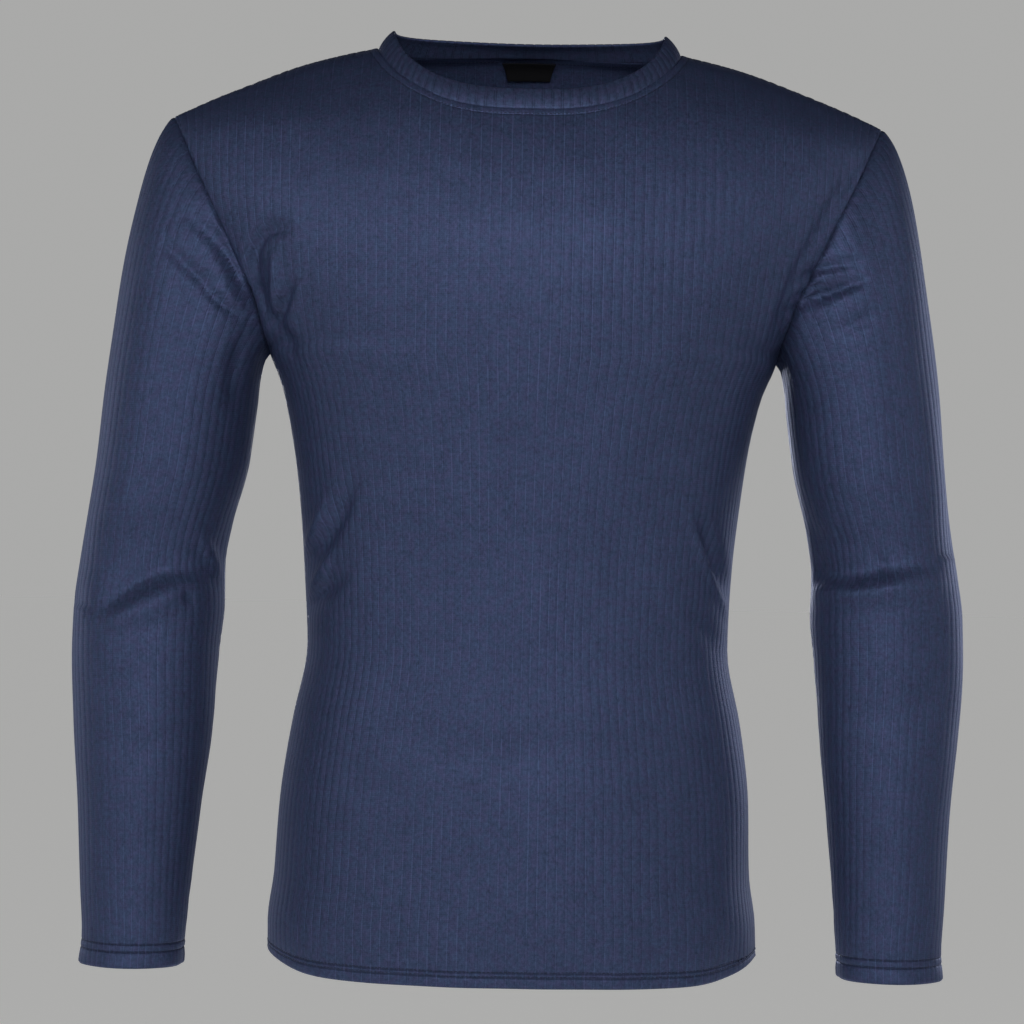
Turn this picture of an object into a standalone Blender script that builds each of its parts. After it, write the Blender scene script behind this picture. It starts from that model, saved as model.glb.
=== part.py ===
"""Long-sleeved thermal top with a crew neck, filled out as if worn, as thin ribbed cloth walls.

The front faces -Y, the wearer's left is +X and +Z is up. The origin is midway between the shoulders, at
the height of the neck seam's side points. Tables and sizes are in millimetres, objects in metres.

Two pattern coordinates run over each piece of cloth. "rib" counts ribs across the piece from its middle,
and "run" is the distance in millimetres along the cloth, so every rib is a column of constant "rib".
"""

import math

import bmesh
import bpy
import numpy as np

MM = 0.001

WALL = 1.6  # thickness of the knitted cloth
RIB_RISE = 0.45  # a rib's crest stands this far above the grooves beside it
SEAM_GAP = 0.4  # clearance between two pieces that are sewn together
COLUMNS_PER_RIB = 2  # one column on the crest, one in the groove
PANEL_INNER_COLUMN = 6  # the plain inside keeps one column in six on the body's panels
TUBE_INNER_COLUMN = 4  # and one in four on the sleeves and the neckband, which turn more tightly

PANEL_HALF_RIBS = 34  # ribs from the middle of the front or back to its side seam
SIDE_ROUNDING = 0.88  # 1 is an ellipse; less fills the body's section out towards a rectangle
HEM_RAISE = 13.0  # the hem's side seams hang this much higher than its middle
HEM_RAISE_REACH = 70.0  # and the cloth above eases back to level over this height
HEM_RAISE_POWER = 9

# Level curves of the body, from the hem to the shoulder ridge. A level runs from the middle of the front
# or back to the piece's edge: the side seam up to the armpit, and the armhole above it. "wrap" is how far
# round the body, in degrees, the level has turned when it reaches that edge.
BODY_COLUMNS = (
    "level", "front_z", "front_y", "back_z", "back_y",
    "edge_z", "edge_x", "edge_front_y", "edge_back_y", "wrap",
)
BODY_LEVELS = (
    ("hem", -671, -114, -671, 110, -671, 178.0, 0, 0, 90),
    ("hem_seam", -640, -114, -640, 110, -640, 177.5, 0, 0, 90),
    ("hip", -600, -113, -600, 109, -600, 172.5, 0, 0, 90),
    ("lower_belly", -545, -111, -545, 104, -545, 170.0, 0, 0, 90),
    ("belly", -490, -107, -490, 96, -490, 162.5, 0, 0, 90),
    ("waist", -435, -103, -435, 90, -435, 153.0, 0, 0, 90),
    ("upper_waist", -380, -103, -380, 90, -380, 155.5, 0, 0, 90),
    ("ribcage", -325, -108, -325, 95, -325, 160.5, 0, 0, 90),
    ("under_chest", -280, -113, -280, 99, -280, 167.0, 0, 0, 90),
    ("below_armpit", -248, -118, -248, 102, -248, 174.5, 0, 0, 90),
    ("armpit", -226, -121, -226, 104, -226, 184.0, 0, 0, 90),
    ("armhole_low", -206, -123, -204, 105, -214, 187.0, -33, 34, 72),
    ("chest", -176, -124, -172, 105, -188, 195.0, -50, 52, 64),
    ("upper_chest", -142, -122, -134, 104, -156, 209.0, -55, 57, 60),
    ("collarbone", -108, -114, -96, 100, -124, 224.0, -52, 54, 58),
    ("below_neck", -78, -103, -59, 91, -94, 239.0, -39, 42, 58),
    ("neck_front", -53, -90, -27, 78, -68, 251.0, -21, 26, 60),
    ("shoulder_front", -24, -66, -2, 62, -58, 256.0, -8, 14, 62),
    ("shoulder_top", 1, -32, 7, 36, -54, 257.8, 0, 7, 66),
    ("ridge", 11, 4, 11, 4, -53, 258.0, 4, 4, 70),
)
# No row of points lies on these, which only guide the curves between the others.
SHAPE_ONLY_LEVELS = ("hem_seam", "hip", "belly", "under_chest", "below_neck", "shoulder_top")
ARMPIT_LEVEL = "armpit"
DROP_POWER = 2  # above the armpit, a level falls from its middle to its edge as this power of x

NECK_HALF_WIDTH = 110.0
NECK_FRONT = 89.6  # the neck seam's front and back reach from the shoulder ridge, seen from above
NECK_BACK = 54.0
NECK_SQUARENESS = 2.6  # 2 is an ellipse; more fills its corners out
BAND_LEAN = (6.6, 11.0, 15.0)  # the band leans in by this much at the front, the sides and the back
BAND_RISE = (15.0, 13.5, 7.5)  # and rises by this much there
BAND_WALL = 2.2  # two layers of rib
BAND_BOW = 1.2
BAND_RIB_PITCH = 6.8

LABEL_WIDTH = 41.0
LABEL_LOWER_WIDTH = 32.0
LABEL_DROP = 19.5
LABEL_BELOW_SEAM = 3.6  # it hangs from the neckband's topstitching
LABEL_WALL = 0.7
LABEL_CLEARANCE = 2.0  # the panel's plain inside is flat between its points, and the label stays clear of it

# Sections of the sleeve's tube below the armpit, seen from the front and from the side. The wearer's
# left sleeve is tabled, and the right one mirrors it.
SLEEVE_COLUMNS = ("section", "z", "inner_x", "outer_x", "mid_y", "half_depth", "half_ribs")
SLEEVE_SECTIONS = (
    ("cuff", -667, 236.5, 308.5, -34, 41, 22.0),
    ("cuff_seam", -650, 235.0, 309.0, -33, 40, 22.0),
    ("wrist", -613, 232.5, 312.0, -29, 42, 22.4),
    ("forearm_low", -555, 227.0, 315.0, -22, 46, 23.2),
    ("forearm", -496, 220.0, 320.5, -14, 51, 24.2),
    ("below_elbow", -438, 216.0, 323.5, -7, 55, 25.0),
    ("elbow_low", -409, 213.5, 323.0, -4, 56, 25.4),
    ("elbow", -380, 214.0, 319.5, -2, 56, 25.8),
    ("above_elbow", -350, 210.0, 315.0, 0, 57, 26.0),
    ("upper_arm", -306, 199.5, 309.5, 1, 60, 26.0),
    ("sleeve_top", -262, 194.0, 305.5, 3, 62, 26.0),
)
SHAPE_ONLY_SECTIONS = ("cuff_seam", "wrist", "forearm_low")
CAP_ROWS = (0.24, 0.48, 0.70, 0.88, 1.0)  # the cap's rows, from the armpit to the shoulder point
# How the cloth leaves the armhole, from the armpit (0) over the front to the shoulder point (1): its
# direction out, sideways (forward on the front, back on the back) and down, and how stiffly it keeps it.
LEAVE_COLUMNS = ("along", "out", "sideways", "down", "hold")
LEAVE_DIRECTIONS = (
    (0.0, 0.85, 0.00, 0.50, 0.60),
    (0.2, 0.60, 0.15, 0.80, 0.60),
    (0.5, 0.55, 0.25, 0.80, 0.60),
    (0.8, 0.80, 0.25, 0.55, 0.45),
    (1.0, 0.90, 0.00, 0.45, 0.35),
)

# The largest folds. Each is a soft trough (positive depth) or ridge (negative) along a line seen from
# the front, with x to the wearer's left, on the half of the cloth that faces "front" or "back".
FOLD_COLUMNS = ("fold", "half", "line", "depth", "half_width")
FOLDS = (
    ("right_elbow", "front", ((-311, -416), (-283, -399), (-262, -388), (-222, -384)), 5.0, 17),
    ("left_elbow", "front", ((206, -373), (234, -379), (262, -374), (296, -368)), 5.0, 16),
    ("right_elbow_back", "back", ((-305, -392), (-270, -402), (-225, -396)), 3.0, 20),
    ("left_elbow_back", "back", ((306, -400), (268, -408), (224, -396)), 3.0, 20),
    ("right_armpit", "front", ((-174, -141), (-190, -158), (-190, -182), (-178, -206)), 4.0, 13),
    ("left_armpit", "front", ((240, -160), (216, -174), (188, -192)), 4.0, 13),
    ("right_armpit_back", "back", ((-168, -128), (-190, -160), (-188, -200)), 4.0, 16),
    ("left_armpit_back", "back", ((172, -138), (192, -168), (188, -204)), 4.0, 16),
    ("right_waist_upper", "front", ((-120, -320), (-136, -353), (-154, -378)), 3.0, 14),
    ("right_waist_lower", "front", ((-124, -380), (-140, -396), (-154, -412)), 3.0, 13),
    ("left_waist", "front", ((127, -340), (138, -366), (150, -398)), 2.5, 13),
    ("right_waist_back", "back", ((-118, -352), (-138, -374), (-152, -392)), 3.0, 15),
    ("left_waist_back", "back", ((112, -372), (136, -390), (152, -404)), 3.0, 15),
)

NAVY = (0.036, 0.046, 0.105, 1.0)
LABEL_BLACK = (0.012, 0.012, 0.014, 1.0)
CLOTH_ROUGHNESS = 0.85

LEVEL_SAMPLES = 120  # points along a level curve when its length is measured
HALVINGS = 40  # of a range, when an edge's place is searched for
RIB_STEP = 0.05  # the steps that a surface's normal is taken over: ribs across,
RUN_STEP = 0.002  # and a share of the piece's height along


def table(columns, rows):
    """The rows' columns by name, numbers as arrays."""
    found = dict(zip(columns, zip(*rows)))
    return {
        name: np.array(values, float) if isinstance(values[0], (int, float)) else values
        for name, values in found.items()
    }


def through(knots, values, at):
    """A smooth curve through (knots, values), read at `at`: cubic pieces with no overshoot."""
    step = np.diff(knots)
    slope = np.diff(values) / step
    tangent = np.empty(len(knots))
    tangent[0], tangent[-1] = slope[0], slope[-1]
    same_way = slope[:-1] * slope[1:] > 0
    weight_a = 2 * step[1:] + step[:-1]
    weight_b = step[1:] + 2 * step[:-1]
    safe_a = np.where(same_way, slope[:-1], 1.0)
    safe_b = np.where(same_way, slope[1:], 1.0)
    tangent[1:-1] = np.where(
        same_way, (weight_a + weight_b) / (weight_a / safe_a + weight_b / safe_b), 0.0
    )
    at = np.clip(at, knots[0], knots[-1])
    piece = np.clip(np.searchsorted(knots, at, side="right") - 1, 0, len(knots) - 2)
    width = step[piece]
    t = (at - knots[piece]) / width
    return (
        (2 * t**3 - 3 * t**2 + 1) * values[piece]
        + (t**3 - 2 * t**2 + t) * width * tangent[piece]
        + (3 * t**2 - 2 * t**3) * values[piece + 1]
        + (t**3 - t**2) * width * tangent[piece + 1]
    )


def length(vectors):
    return np.sqrt((vectors**2).sum(axis=-1))


def unit(vectors):
    return vectors / length(vectors)[..., None]


BODY = table(BODY_COLUMNS, BODY_LEVELS)
SLEEVE = table(SLEEVE_COLUMNS, SLEEVE_SECTIONS)
LEAVE = table(LEAVE_COLUMNS, LEAVE_DIRECTIONS)

# Distance up the middle of the front, which places each level.
BODY["run"] = np.concatenate(
    ([0.0], np.cumsum(np.hypot(np.diff(BODY["front_z"]), np.diff(BODY["front_y"]))))
)
ARMPIT_RUN = BODY["run"][BODY["level"].index(ARMPIT_LEVEL)]
RIDGE_RUN = BODY["run"][-1]


# ---------------------------------------------------------------- the body's surface


def level_values(run, half):
    """Each tabled size of the levels at `run`, for the front or the back half."""
    sizes = {
        name: through(BODY["run"], BODY[name], run)
        for name in ("edge_z", "edge_x", "wrap")
    }
    sizes["mid_y"] = through(BODY["run"], BODY[half + "_y"], run)
    sizes["mid_z"] = through(BODY["run"], BODY[half + "_z"], run)
    sizes["edge_y"] = through(BODY["run"], BODY["edge_" + half + "_y"], run)
    return sizes


def on_level(sizes, run, turn):
    """A point of a level curve, `turn` of the way (0 to 1) round it from the middle to the edge."""
    wrap = np.radians(sizes["wrap"])
    angle = turn * wrap
    cos_edge = np.clip(np.cos(wrap), 0, 1) ** SIDE_ROUNDING
    across = (np.sin(angle) / np.sin(wrap)) ** SIDE_ROUNDING
    forward = (np.clip(np.cos(angle), 0, 1) ** SIDE_ROUNDING - cos_edge) / (1 - cos_edge)
    hem = np.clip(1 - run / HEM_RAISE_REACH, 0, 1) ** 2
    return np.stack(
        (
            sizes["edge_x"] * across,
            sizes["edge_y"] + (sizes["mid_y"] - sizes["edge_y"]) * forward,
            sizes["mid_z"]
            + (sizes["edge_z"] - sizes["mid_z"]) * across**DROP_POWER
            + HEM_RAISE * hem * across**HEM_RAISE_POWER,
        ),
        axis=-1,
    )


def level_lengths(run, half):
    """The lengths along the level curves at `run`, from the middle: one row of samples a point."""
    sizes = {name: values[:, None] for name, values in level_values(run, half).items()}
    turns = np.linspace(0, 1, LEVEL_SAMPLES + 1)[None, :]
    points = on_level(sizes, run[:, None], turns)
    steps = length(np.diff(points, axis=1))
    return np.concatenate((np.zeros((len(run), 1)), np.cumsum(steps, axis=1)), axis=1)


def rib_pitch(run, reach):
    """The ribs spread evenly from side seam to side seam, and keep the chest's pitch above that."""
    chest_pitch = level_lengths(np.array([ARMPIT_RUN]), "front")[0, -1] / PANEL_HALF_RIBS
    return np.where(run < ARMPIT_RUN, reach / PANEL_HALF_RIBS, chest_pitch)


def panel_half_ribs(half):
    def half_ribs(run):
        reach = level_lengths(run, half)[:, -1]
        return (reach - SEAM_GAP / 2) / rib_pitch(run, reach)

    return half_ribs


def panel_point(half):
    """The outer surface of the front or back panel, as a function of rib and run."""

    def point(rib, run):
        lengths = level_lengths(run, half)
        wanted = np.abs(rib) * rib_pitch(run, lengths[:, -1])
        wanted = np.minimum(wanted, lengths[:, -1])
        after = np.clip((lengths < wanted[:, None]).sum(axis=1), 1, LEVEL_SAMPLES)
        rows = np.arange(len(run))
        low, high = lengths[rows, after - 1], lengths[rows, after]
        turn = (after - 1 + (wanted - low) / np.maximum(high - low, 1e-9)) / LEVEL_SAMPLES
        found = on_level(level_values(run, half), run, turn)
        found[:, 0] *= np.sign(rib)
        return found

    return point


def in_neck(points):
    """Below zero where a point lies inside the neck hole, seen from above."""
    reach = np.where(points[:, 1] < 0, NECK_FRONT, NECK_BACK)
    across, along = np.abs(points[:, 0]) / NECK_HALF_WIDTH, np.abs(points[:, 1]) / reach
    return across**NECK_SQUARENESS + along**NECK_SQUARENESS - 1


def panel_top(half):
    """Where each rib of a panel ends: on the neck curve, or beside it on the shoulder seam."""
    point = panel_point(half)

    def top(rib):
        low = np.full(len(rib), ARMPIT_RUN)
        high = np.full(len(rib), RIDGE_RUN - SEAM_GAP / 2)
        at_seam = in_neck(point(rib, high)) >= 0
        for _ in range(HALVINGS):
            middle = (low + high) / 2
            inside = in_neck(point(rib, middle)) < 0
            high = np.where(inside, middle, high)
            low = np.where(inside, low, middle)
        return np.where(at_seam, RIDGE_RUN - SEAM_GAP / 2, low)

    return top


# ---------------------------------------------------------------- the sleeve's surface

ARMHOLE_SAMPLES = 200


def armhole_half(half):
    """The armhole's edge from the armpit to the shoulder point, over the front or the back."""
    run = np.linspace(ARMPIT_RUN, RIDGE_RUN, ARMHOLE_SAMPLES)
    return on_level(level_values(run, half), run, np.ones(len(run)))


ARMHOLE = {half: armhole_half(half) for half in ("front", "back")}


def armhole_point(along, half):
    """A point of the armhole, `along` (0 to 1) by length from the armpit to the shoulder point."""
    edge = ARMHOLE[half]
    covered = np.concatenate(([0.0], np.cumsum(length(np.diff(edge, axis=0)))))
    wanted = along * covered[-1]
    return np.stack([np.interp(wanted, covered, edge[:, i]) for i in range(3)], axis=-1)


def tube_section(z):
    """The middle and half sizes of the sleeve's tube at height z."""
    inner, outer, mid_y, half_depth = (
        through(SLEEVE["z"], SLEEVE[name], z)
        for name in ("inner_x", "outer_x", "mid_y", "half_depth")
    )
    return (inner + outer) / 2, mid_y, (outer - inner) / 2, half_depth


def tube_point(turn, z):
    """A point of the tube; `turn` is 0 on the outer side, 1 on the inner side, negative on the back."""
    mid_x, mid_y, half_width, half_depth = tube_section(z)
    angle = turn * math.pi
    return np.stack(
        (mid_x + half_width * np.cos(angle), mid_y - half_depth * np.sin(angle), z), axis=-1
    )


SLEEVE_TOP = SLEEVE["z"][-1]
SLEEVE_TOP_HALF_RIBS = SLEEVE["half_ribs"][-1]
CAP_SAMPLES = 24
CAP_STEEPNESS = 1.6  # the steepest slope of the sleeve cap's seam in the flat cut


SHARE_SAMPLES = 100


def armhole_share(turn):
    """How far from the armpit to the shoulder point a sleeve column meets the armhole.

    The cap's seam is a bell curve, so a column on its steep part meets more of the armhole."""
    samples = np.linspace(0, 1, SHARE_SAMPLES)
    rate = np.sqrt(1 + (CAP_STEEPNESS * np.sin(math.pi * samples)) ** 2)
    covered = np.concatenate(([0.0], np.cumsum((rate[1:] + rate[:-1]) / 2)))
    return 1 - np.interp(np.abs(turn), samples, covered / covered[-1])


def cap_curve(turn):
    """The sleeve's column at `turn` above the tube: points from the tube's top up to the armhole."""
    share = armhole_share(turn)
    front = (turn >= 0)[:, None]
    start = np.where(front, armhole_point(share, "front"), armhole_point(share, "back"))
    out, sideways, down, hold = (
        through(LEAVE["along"], LEAVE[name], share) for name in ("out", "sideways", "down", "hold")
    )
    forward = np.where(turn >= 0, -sideways, sideways)
    leave = unit(np.stack((out, forward, -down), axis=-1))
    start = start + leave * SEAM_GAP / 2
    z_top = np.full(len(turn), SLEEVE_TOP)
    end = tube_point(turn, z_top)
    arrive = unit(end - tube_point(turn, z_top - 1.0)) * -1.0
    reach = length(end - start)
    t = np.linspace(1, 0, CAP_SAMPLES + 1)[None, :, None]
    return (
        (2 * t**3 - 3 * t**2 + 1) * start[:, None]
        + (t**3 - 2 * t**2 + t) * (leave * (reach * hold)[:, None])[:, None]
        + (3 * t**2 - 2 * t**3) * end[:, None]
        + (t**3 - t**2) * (arrive * reach[:, None])[:, None]
    )


def cap_lengths(turn):
    steps = length(np.diff(cap_curve(turn), axis=1))
    return np.concatenate((np.zeros((len(turn), 1)), np.cumsum(steps, axis=1)), axis=1)


def sleeve_half_ribs(run):
    """Half the sleeve's ribs at `run` above the tube's top: fewer towards the cuff, where it tapers."""
    return through(SLEEVE["z"], SLEEVE["half_ribs"], SLEEVE_TOP + np.minimum(run, 0))


def sleeve_top(rib):
    """Where each rib of the sleeve ends on the armhole."""
    return cap_lengths(np.clip(rib / SLEEVE_TOP_HALF_RIBS, -1, 1))[:, -1]


def sleeve_point(side):
    """The outer surface of a sleeve; side is 1 for the wearer's left and -1 for the right."""

    def point(rib, run):
        turn = np.clip(rib / sleeve_half_ribs(run), -1, 1)
        found = tube_point(turn, SLEEVE_TOP + np.minimum(run, 0))
        above = run > 0
        if above.any():
            lengths = cap_lengths(turn[above])
            curve = cap_curve(turn[above])
            wanted = np.minimum(run[above], lengths[:, -1])
            after = np.clip((lengths < wanted[:, None]).sum(axis=1), 1, CAP_SAMPLES)
            rows = np.arange(len(wanted))
            low, high = lengths[rows, after - 1], lengths[rows, after]
            share = ((wanted - low) / np.maximum(high - low, 1e-9))[:, None]
            found[above] = curve[rows, after - 1] * (1 - share) + curve[rows, after] * share
        found[:, 0] *= side
        return found

    return point


# ---------------------------------------------------------------- the neckband's surface

SEAM_SAMPLES = 181


def neck_seam():
    """The neck seam as a closed ring of points, from the front's middle round by the wearer's left."""
    rings = []
    for half in ("front", "back"):
        point, top = panel_point(half), panel_top(half)
        low, high = 0.0, PANEL_HALF_RIBS * 1.0
        for _ in range(HALVINGS):
            middle = np.array([(low + high) / 2])
            beside = in_neck(point(middle, np.array([RIDGE_RUN]))) >= 0
            low, high = (low, middle[0]) if beside[0] else (middle[0], high)
        # Closer together towards the side, where the curve turns up along the ribs.
        ribs = low * np.sin(np.linspace(0, math.pi / 2, SEAM_SAMPLES))
        rings.append(point(ribs, top(ribs)))
    front, back = rings
    side = np.concatenate((front, back[::-1][1:]))
    mirrored = side[::-1][1:-1] * np.array((-1.0, 1.0, 1.0))
    return np.concatenate((side, mirrored))


NECK_SEAM = neck_seam()


def neck_inward(points):
    """The level way from the neck seam in towards the neck, square to the seam seen from above."""
    reach = np.where(points[:, 1] < 0, NECK_FRONT, NECK_BACK)
    x, y = points[:, 0] / NECK_HALF_WIDTH, points[:, 1] / reach
    steepness = NECK_SQUARENESS - 1
    out_x = np.sign(x) * np.abs(x) ** steepness / NECK_HALF_WIDTH
    out_y = np.sign(y) * np.abs(y) ** steepness / reach
    return -unit(np.stack((out_x, out_y, np.zeros(len(x))), axis=-1))


def band_point(count):
    """The neckband's outer surface; a rib counts round from the front's middle, and run goes 0 to 1."""
    closed = np.concatenate((NECK_SEAM, NECK_SEAM[:1]))
    covered = np.concatenate(([0.0], np.cumsum(length(np.diff(closed, axis=0)))))

    def point(rib, run):
        wanted = (rib / count % 1.0) * covered[-1]
        seam = np.stack([np.interp(wanted, covered, closed[:, i]) for i in range(3)], axis=-1)
        facing = np.arctan2(seam[:, 0] / NECK_HALF_WIDTH, -seam[:, 1] / NECK_FRONT)
        frontness = np.cos(facing)
        share_front = np.clip(frontness, 0, 1) ** 2
        share_back = np.clip(-frontness, 0, 1) ** 2
        lean, rise = (
            size[0] * share_front + size[1] * (1 - share_front - share_back) + size[2] * share_back
            for size in (BAND_LEAN, BAND_RISE)
        )
        inward = neck_inward(seam)
        slope = inward * lean[:, None] + np.array((0.0, 0.0, 1.0)) * rise[:, None]
        outward = unit(np.stack((-inward[:, 0] * rise, -inward[:, 1] * rise, lean), axis=-1))
        start = seam + unit(slope) * SEAM_GAP
        bow = BAND_BOW * (4 * run * (1 - run))[:, None]
        return start + slope * run[:, None] + outward * bow

    return point


def band_ribs():
    closed = np.concatenate((NECK_SEAM, NECK_SEAM[:1]))
    return round(length(np.diff(closed, axis=0)).sum() / BAND_RIB_PITCH)


# ---------------------------------------------------------------- folds and ribs


def line_distance(points, line):
    """Each point's distance from a line seen from the front, and how far along it (0 to 1) it is."""
    flat = points[:, [0, 2]]
    corners = np.array(line, float)
    steps = length(np.diff(corners, axis=0))
    covered = np.concatenate(([0.0], np.cumsum(steps)))
    nearest = np.full(len(points), np.inf)
    along = np.zeros(len(points))
    for i, step in enumerate(steps):
        way = (corners[i + 1] - corners[i]) / step
        t = np.clip((flat - corners[i]) @ way, 0, step)
        distance = length(flat - corners[i] - t[:, None] * way)
        closer = distance < nearest
        nearest = np.where(closer, distance, nearest)
        along = np.where(closer, (covered[i] + t) / covered[-1], along)
    return nearest, along


def fold_depth(points, normals):
    """How far the folds press the cloth in at each point."""
    depth = np.zeros(len(points))
    folds = table(FOLD_COLUMNS, FOLDS)
    for half, line, deep, half_width in zip(
        folds["half"], folds["line"], folds["depth"], folds["half_width"]
    ):
        facing = np.clip(-normals[:, 1] if half == "front" else normals[:, 1], 0, 1)
        distance, along = line_distance(points, line)
        across = np.clip(1 - (distance / half_width) ** 2, 0, 1) ** 2
        ends = np.sin(math.pi * np.clip(along * 0.8 + 0.1, 0, 1))
        depth += deep * across * ends * np.minimum(1, 2 * facing)
    return depth


def rib_rise(rib):
    """A rib's crest is on each whole number, and the groove beside it halfway."""
    return RIB_RISE * (0.5 + 0.5 * np.cos(2 * math.pi * rib))


# ---------------------------------------------------------------- cloth walls


def surface_normals(point, rib, run, half_ribs, top, bottom, side):
    """Outward unit normals of a piece, from the steps across and along it."""
    step_run = (top.max() - bottom) * RUN_STEP
    right = np.minimum(rib + RIB_STEP, half_ribs)
    left = np.maximum(rib - RIB_STEP, -half_ribs)
    above = np.minimum(run + step_run, top)
    below = np.maximum(run - step_run, bottom)
    across = point(right, run) - point(left, run)
    along = point(rib, above) - point(rib, below)
    return unit(np.cross(across, along)) * side


def cloth_wall(name, point, ribs, runs, half_ribs, top, material, **options):
    """A closed wall of cloth over a grid of columns and rows of a piece's pattern.

    A column past the piece's edge slides onto that edge, and a row past its top slides onto the top, so
    the piece is cut along its true outline while its ribs stay in line."""
    wall = options.get("wall", WALL)
    side = options.get("side", 1)
    closed = options.get("closed", False)
    face_out = options.get("face_out", 1)
    inner_every = options.get("inner_every", TUBE_INNER_COLUMN)
    columns, rows = len(ribs), len(runs)

    grid_rib = np.repeat(ribs[:, None], rows, axis=1).ravel()
    grid_run = np.repeat(runs[None, :], columns, axis=0).ravel()
    limit = half_ribs(grid_run)
    cut_side = np.abs(grid_rib) >= limit
    grid_rib = np.clip(grid_rib, -limit, limit)
    if closed:
        # Both edges of a tube are one seam, so they share their points.
        grid_rib = np.where(cut_side, -limit, grid_rib)
    highest = top(grid_rib)
    cut_top = grid_run >= highest
    grid_run = np.minimum(grid_run, highest)

    keys = np.round(np.stack((grid_rib, grid_run), axis=-1), 5)
    _, first, number = np.unique(keys, axis=0, return_index=True, return_inverse=True)
    number = number.reshape(columns, rows)
    rib, run = grid_rib[first], grid_run[first]
    limit, highest = limit[first], highest[first]
    on_edge = (cut_side | cut_top)[first]

    base = point(rib, run)
    normals = surface_normals(point, rib, run, limit, highest, runs[0], side * face_out)
    ridge = options.get("flat_normal_above")
    if ridge is not None:
        # Front and back share one normal on the shoulder seam, so their walls stay apart there.
        at_ridge = run >= ridge
        normals[at_ridge, 1] = 0
        normals = unit(normals)
    base = base - normals * fold_depth(base, normals)[:, None]
    relief = np.where(on_edge, 0.0, rib_rise(rib)) if options.get("ribbed", True) else 0.0 * rib
    lift = options.get("lift", 0.0)
    outer = base + normals * (relief + lift)[:, None]
    inner = base + normals * (lift - wall)

    mesh = bmesh.new()
    outer_points = [mesh.verts.new(p * MM) for p in outer]
    inner_points = [mesh.verts.new(p * MM) for p in inner]
    outward = side * face_out > 0
    spare_edges = []
    wraps = options.get("round", False)
    for k in range(columns if wraps else columns - 1):
        for j in range(rows - 1):
            k2 = (k + 1) % columns
            corners = [number[k, j], number[k2, j], number[k2, j + 1], number[k, j + 1]]
            loop = [c for i, c in enumerate(corners) if c != corners[i - 1]]
            if len(set(loop)) < 3:
                continue
            forward = loop if outward else loop[::-1]
            mesh.faces.new([outer_points[c] for c in forward])
            mesh.faces.new([inner_points[c] for c in forward[::-1]])
            if k % inner_every and number[k, j] != number[k, j + 1]:
                spare_edges.append((number[k, j], number[k, j + 1]))
    mesh.verts.index_update()
    for edge in [e for e in mesh.edges if e.is_boundary]:
        loop = edge.link_loops[0]
        start, end = loop.vert, loop.link_loop_next.vert
        if start.index < len(outer_points):
            mesh.faces.new((end, start, inner_points[start.index], inner_points[end.index]))

    dissolve = [mesh.edges.get((inner_points[a], inner_points[b])) for a, b in spare_edges]
    bmesh.ops.dissolve_edges(mesh, edges=dissolve, use_verts=True, use_face_split=False)
    return add_object(name, mesh, material)


def add_object(name, mesh, material):
    data = bpy.data.meshes.new(name)
    mesh.to_mesh(data)
    mesh.free()
    data.materials.append(material)
    data.shade_smooth()
    piece = bpy.data.objects.new(name, data)
    bpy.context.scene.collection.objects.link(piece)
    return piece


def finish(name, colour, roughness):
    material = bpy.data.materials.new(name)
    material.use_nodes = True
    shader = material.node_tree.nodes["Principled BSDF"]
    shader.inputs["Base Color"].default_value = colour
    shader.inputs["Roughness"].default_value = roughness
    shader.inputs["Metallic"].default_value = 0.0
    return material


# ---------------------------------------------------------------- the pieces


def rib_columns(half_ribs):
    count = math.ceil(half_ribs)
    return np.linspace(-count, count, 2 * count * COLUMNS_PER_RIB + 1)


def build_panel(half, material):
    half_ribs = panel_half_ribs(half)
    widest = half_ribs(BODY["run"]).max()
    rows = [name not in SHAPE_ONLY_LEVELS for name in BODY["level"]]
    runs = np.minimum(BODY["run"][rows], RIDGE_RUN - SEAM_GAP / 2)
    return cloth_wall(
        half,
        panel_point(half),
        rib_columns(widest),
        runs,
        half_ribs,
        panel_top(half),
        material,
        face_out=1 if half == "front" else -1,
        flat_normal_above=RIDGE_RUN - SEAM_GAP,
        inner_every=PANEL_INNER_COLUMN,
    )


def build_sleeve(name, side, material):
    highest = sleeve_top(np.zeros(1))[0]
    lowest = sleeve_top(np.array([SLEEVE_TOP_HALF_RIBS]))[0]
    rows = [name not in SHAPE_ONLY_SECTIONS for name in SLEEVE["section"]]
    cap_rows = lowest + (highest - lowest) * np.array(CAP_ROWS)
    runs = np.concatenate((SLEEVE["z"][rows] - SLEEVE_TOP, [lowest], cap_rows))
    return cloth_wall(
        name,
        sleeve_point(side),
        rib_columns(SLEEVE_TOP_HALF_RIBS),
        runs,
        sleeve_half_ribs,
        sleeve_top,
        material,
        side=side,
        closed=True,
        face_out=-1,
    )


def build_neckband(material):
    count = band_ribs()
    ribs = np.arange(count * COLUMNS_PER_RIB) / COLUMNS_PER_RIB
    return cloth_wall(
        "neckband",
        band_point(count),
        ribs,
        np.array((0.0, 1.0)),
        lambda run: np.full(len(run), np.inf),
        lambda rib: np.ones(len(rib)),
        material,
        wall=BAND_WALL,
        round=True,
    )


def label_runs():
    """Where the label starts and ends, by its distances down the back from the neck seam."""
    seam = panel_top("back")(np.zeros(1))[0]
    runs = np.linspace(seam, ARMPIT_RUN, LEVEL_SAMPLES)
    middle = panel_point("back")(np.zeros(len(runs)), runs)
    covered = np.concatenate(([0.0], np.cumsum(length(np.diff(middle, axis=0)))))
    return np.interp((LABEL_BELOW_SEAM, LABEL_BELOW_SEAM + LABEL_DROP), covered, runs)


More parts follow.
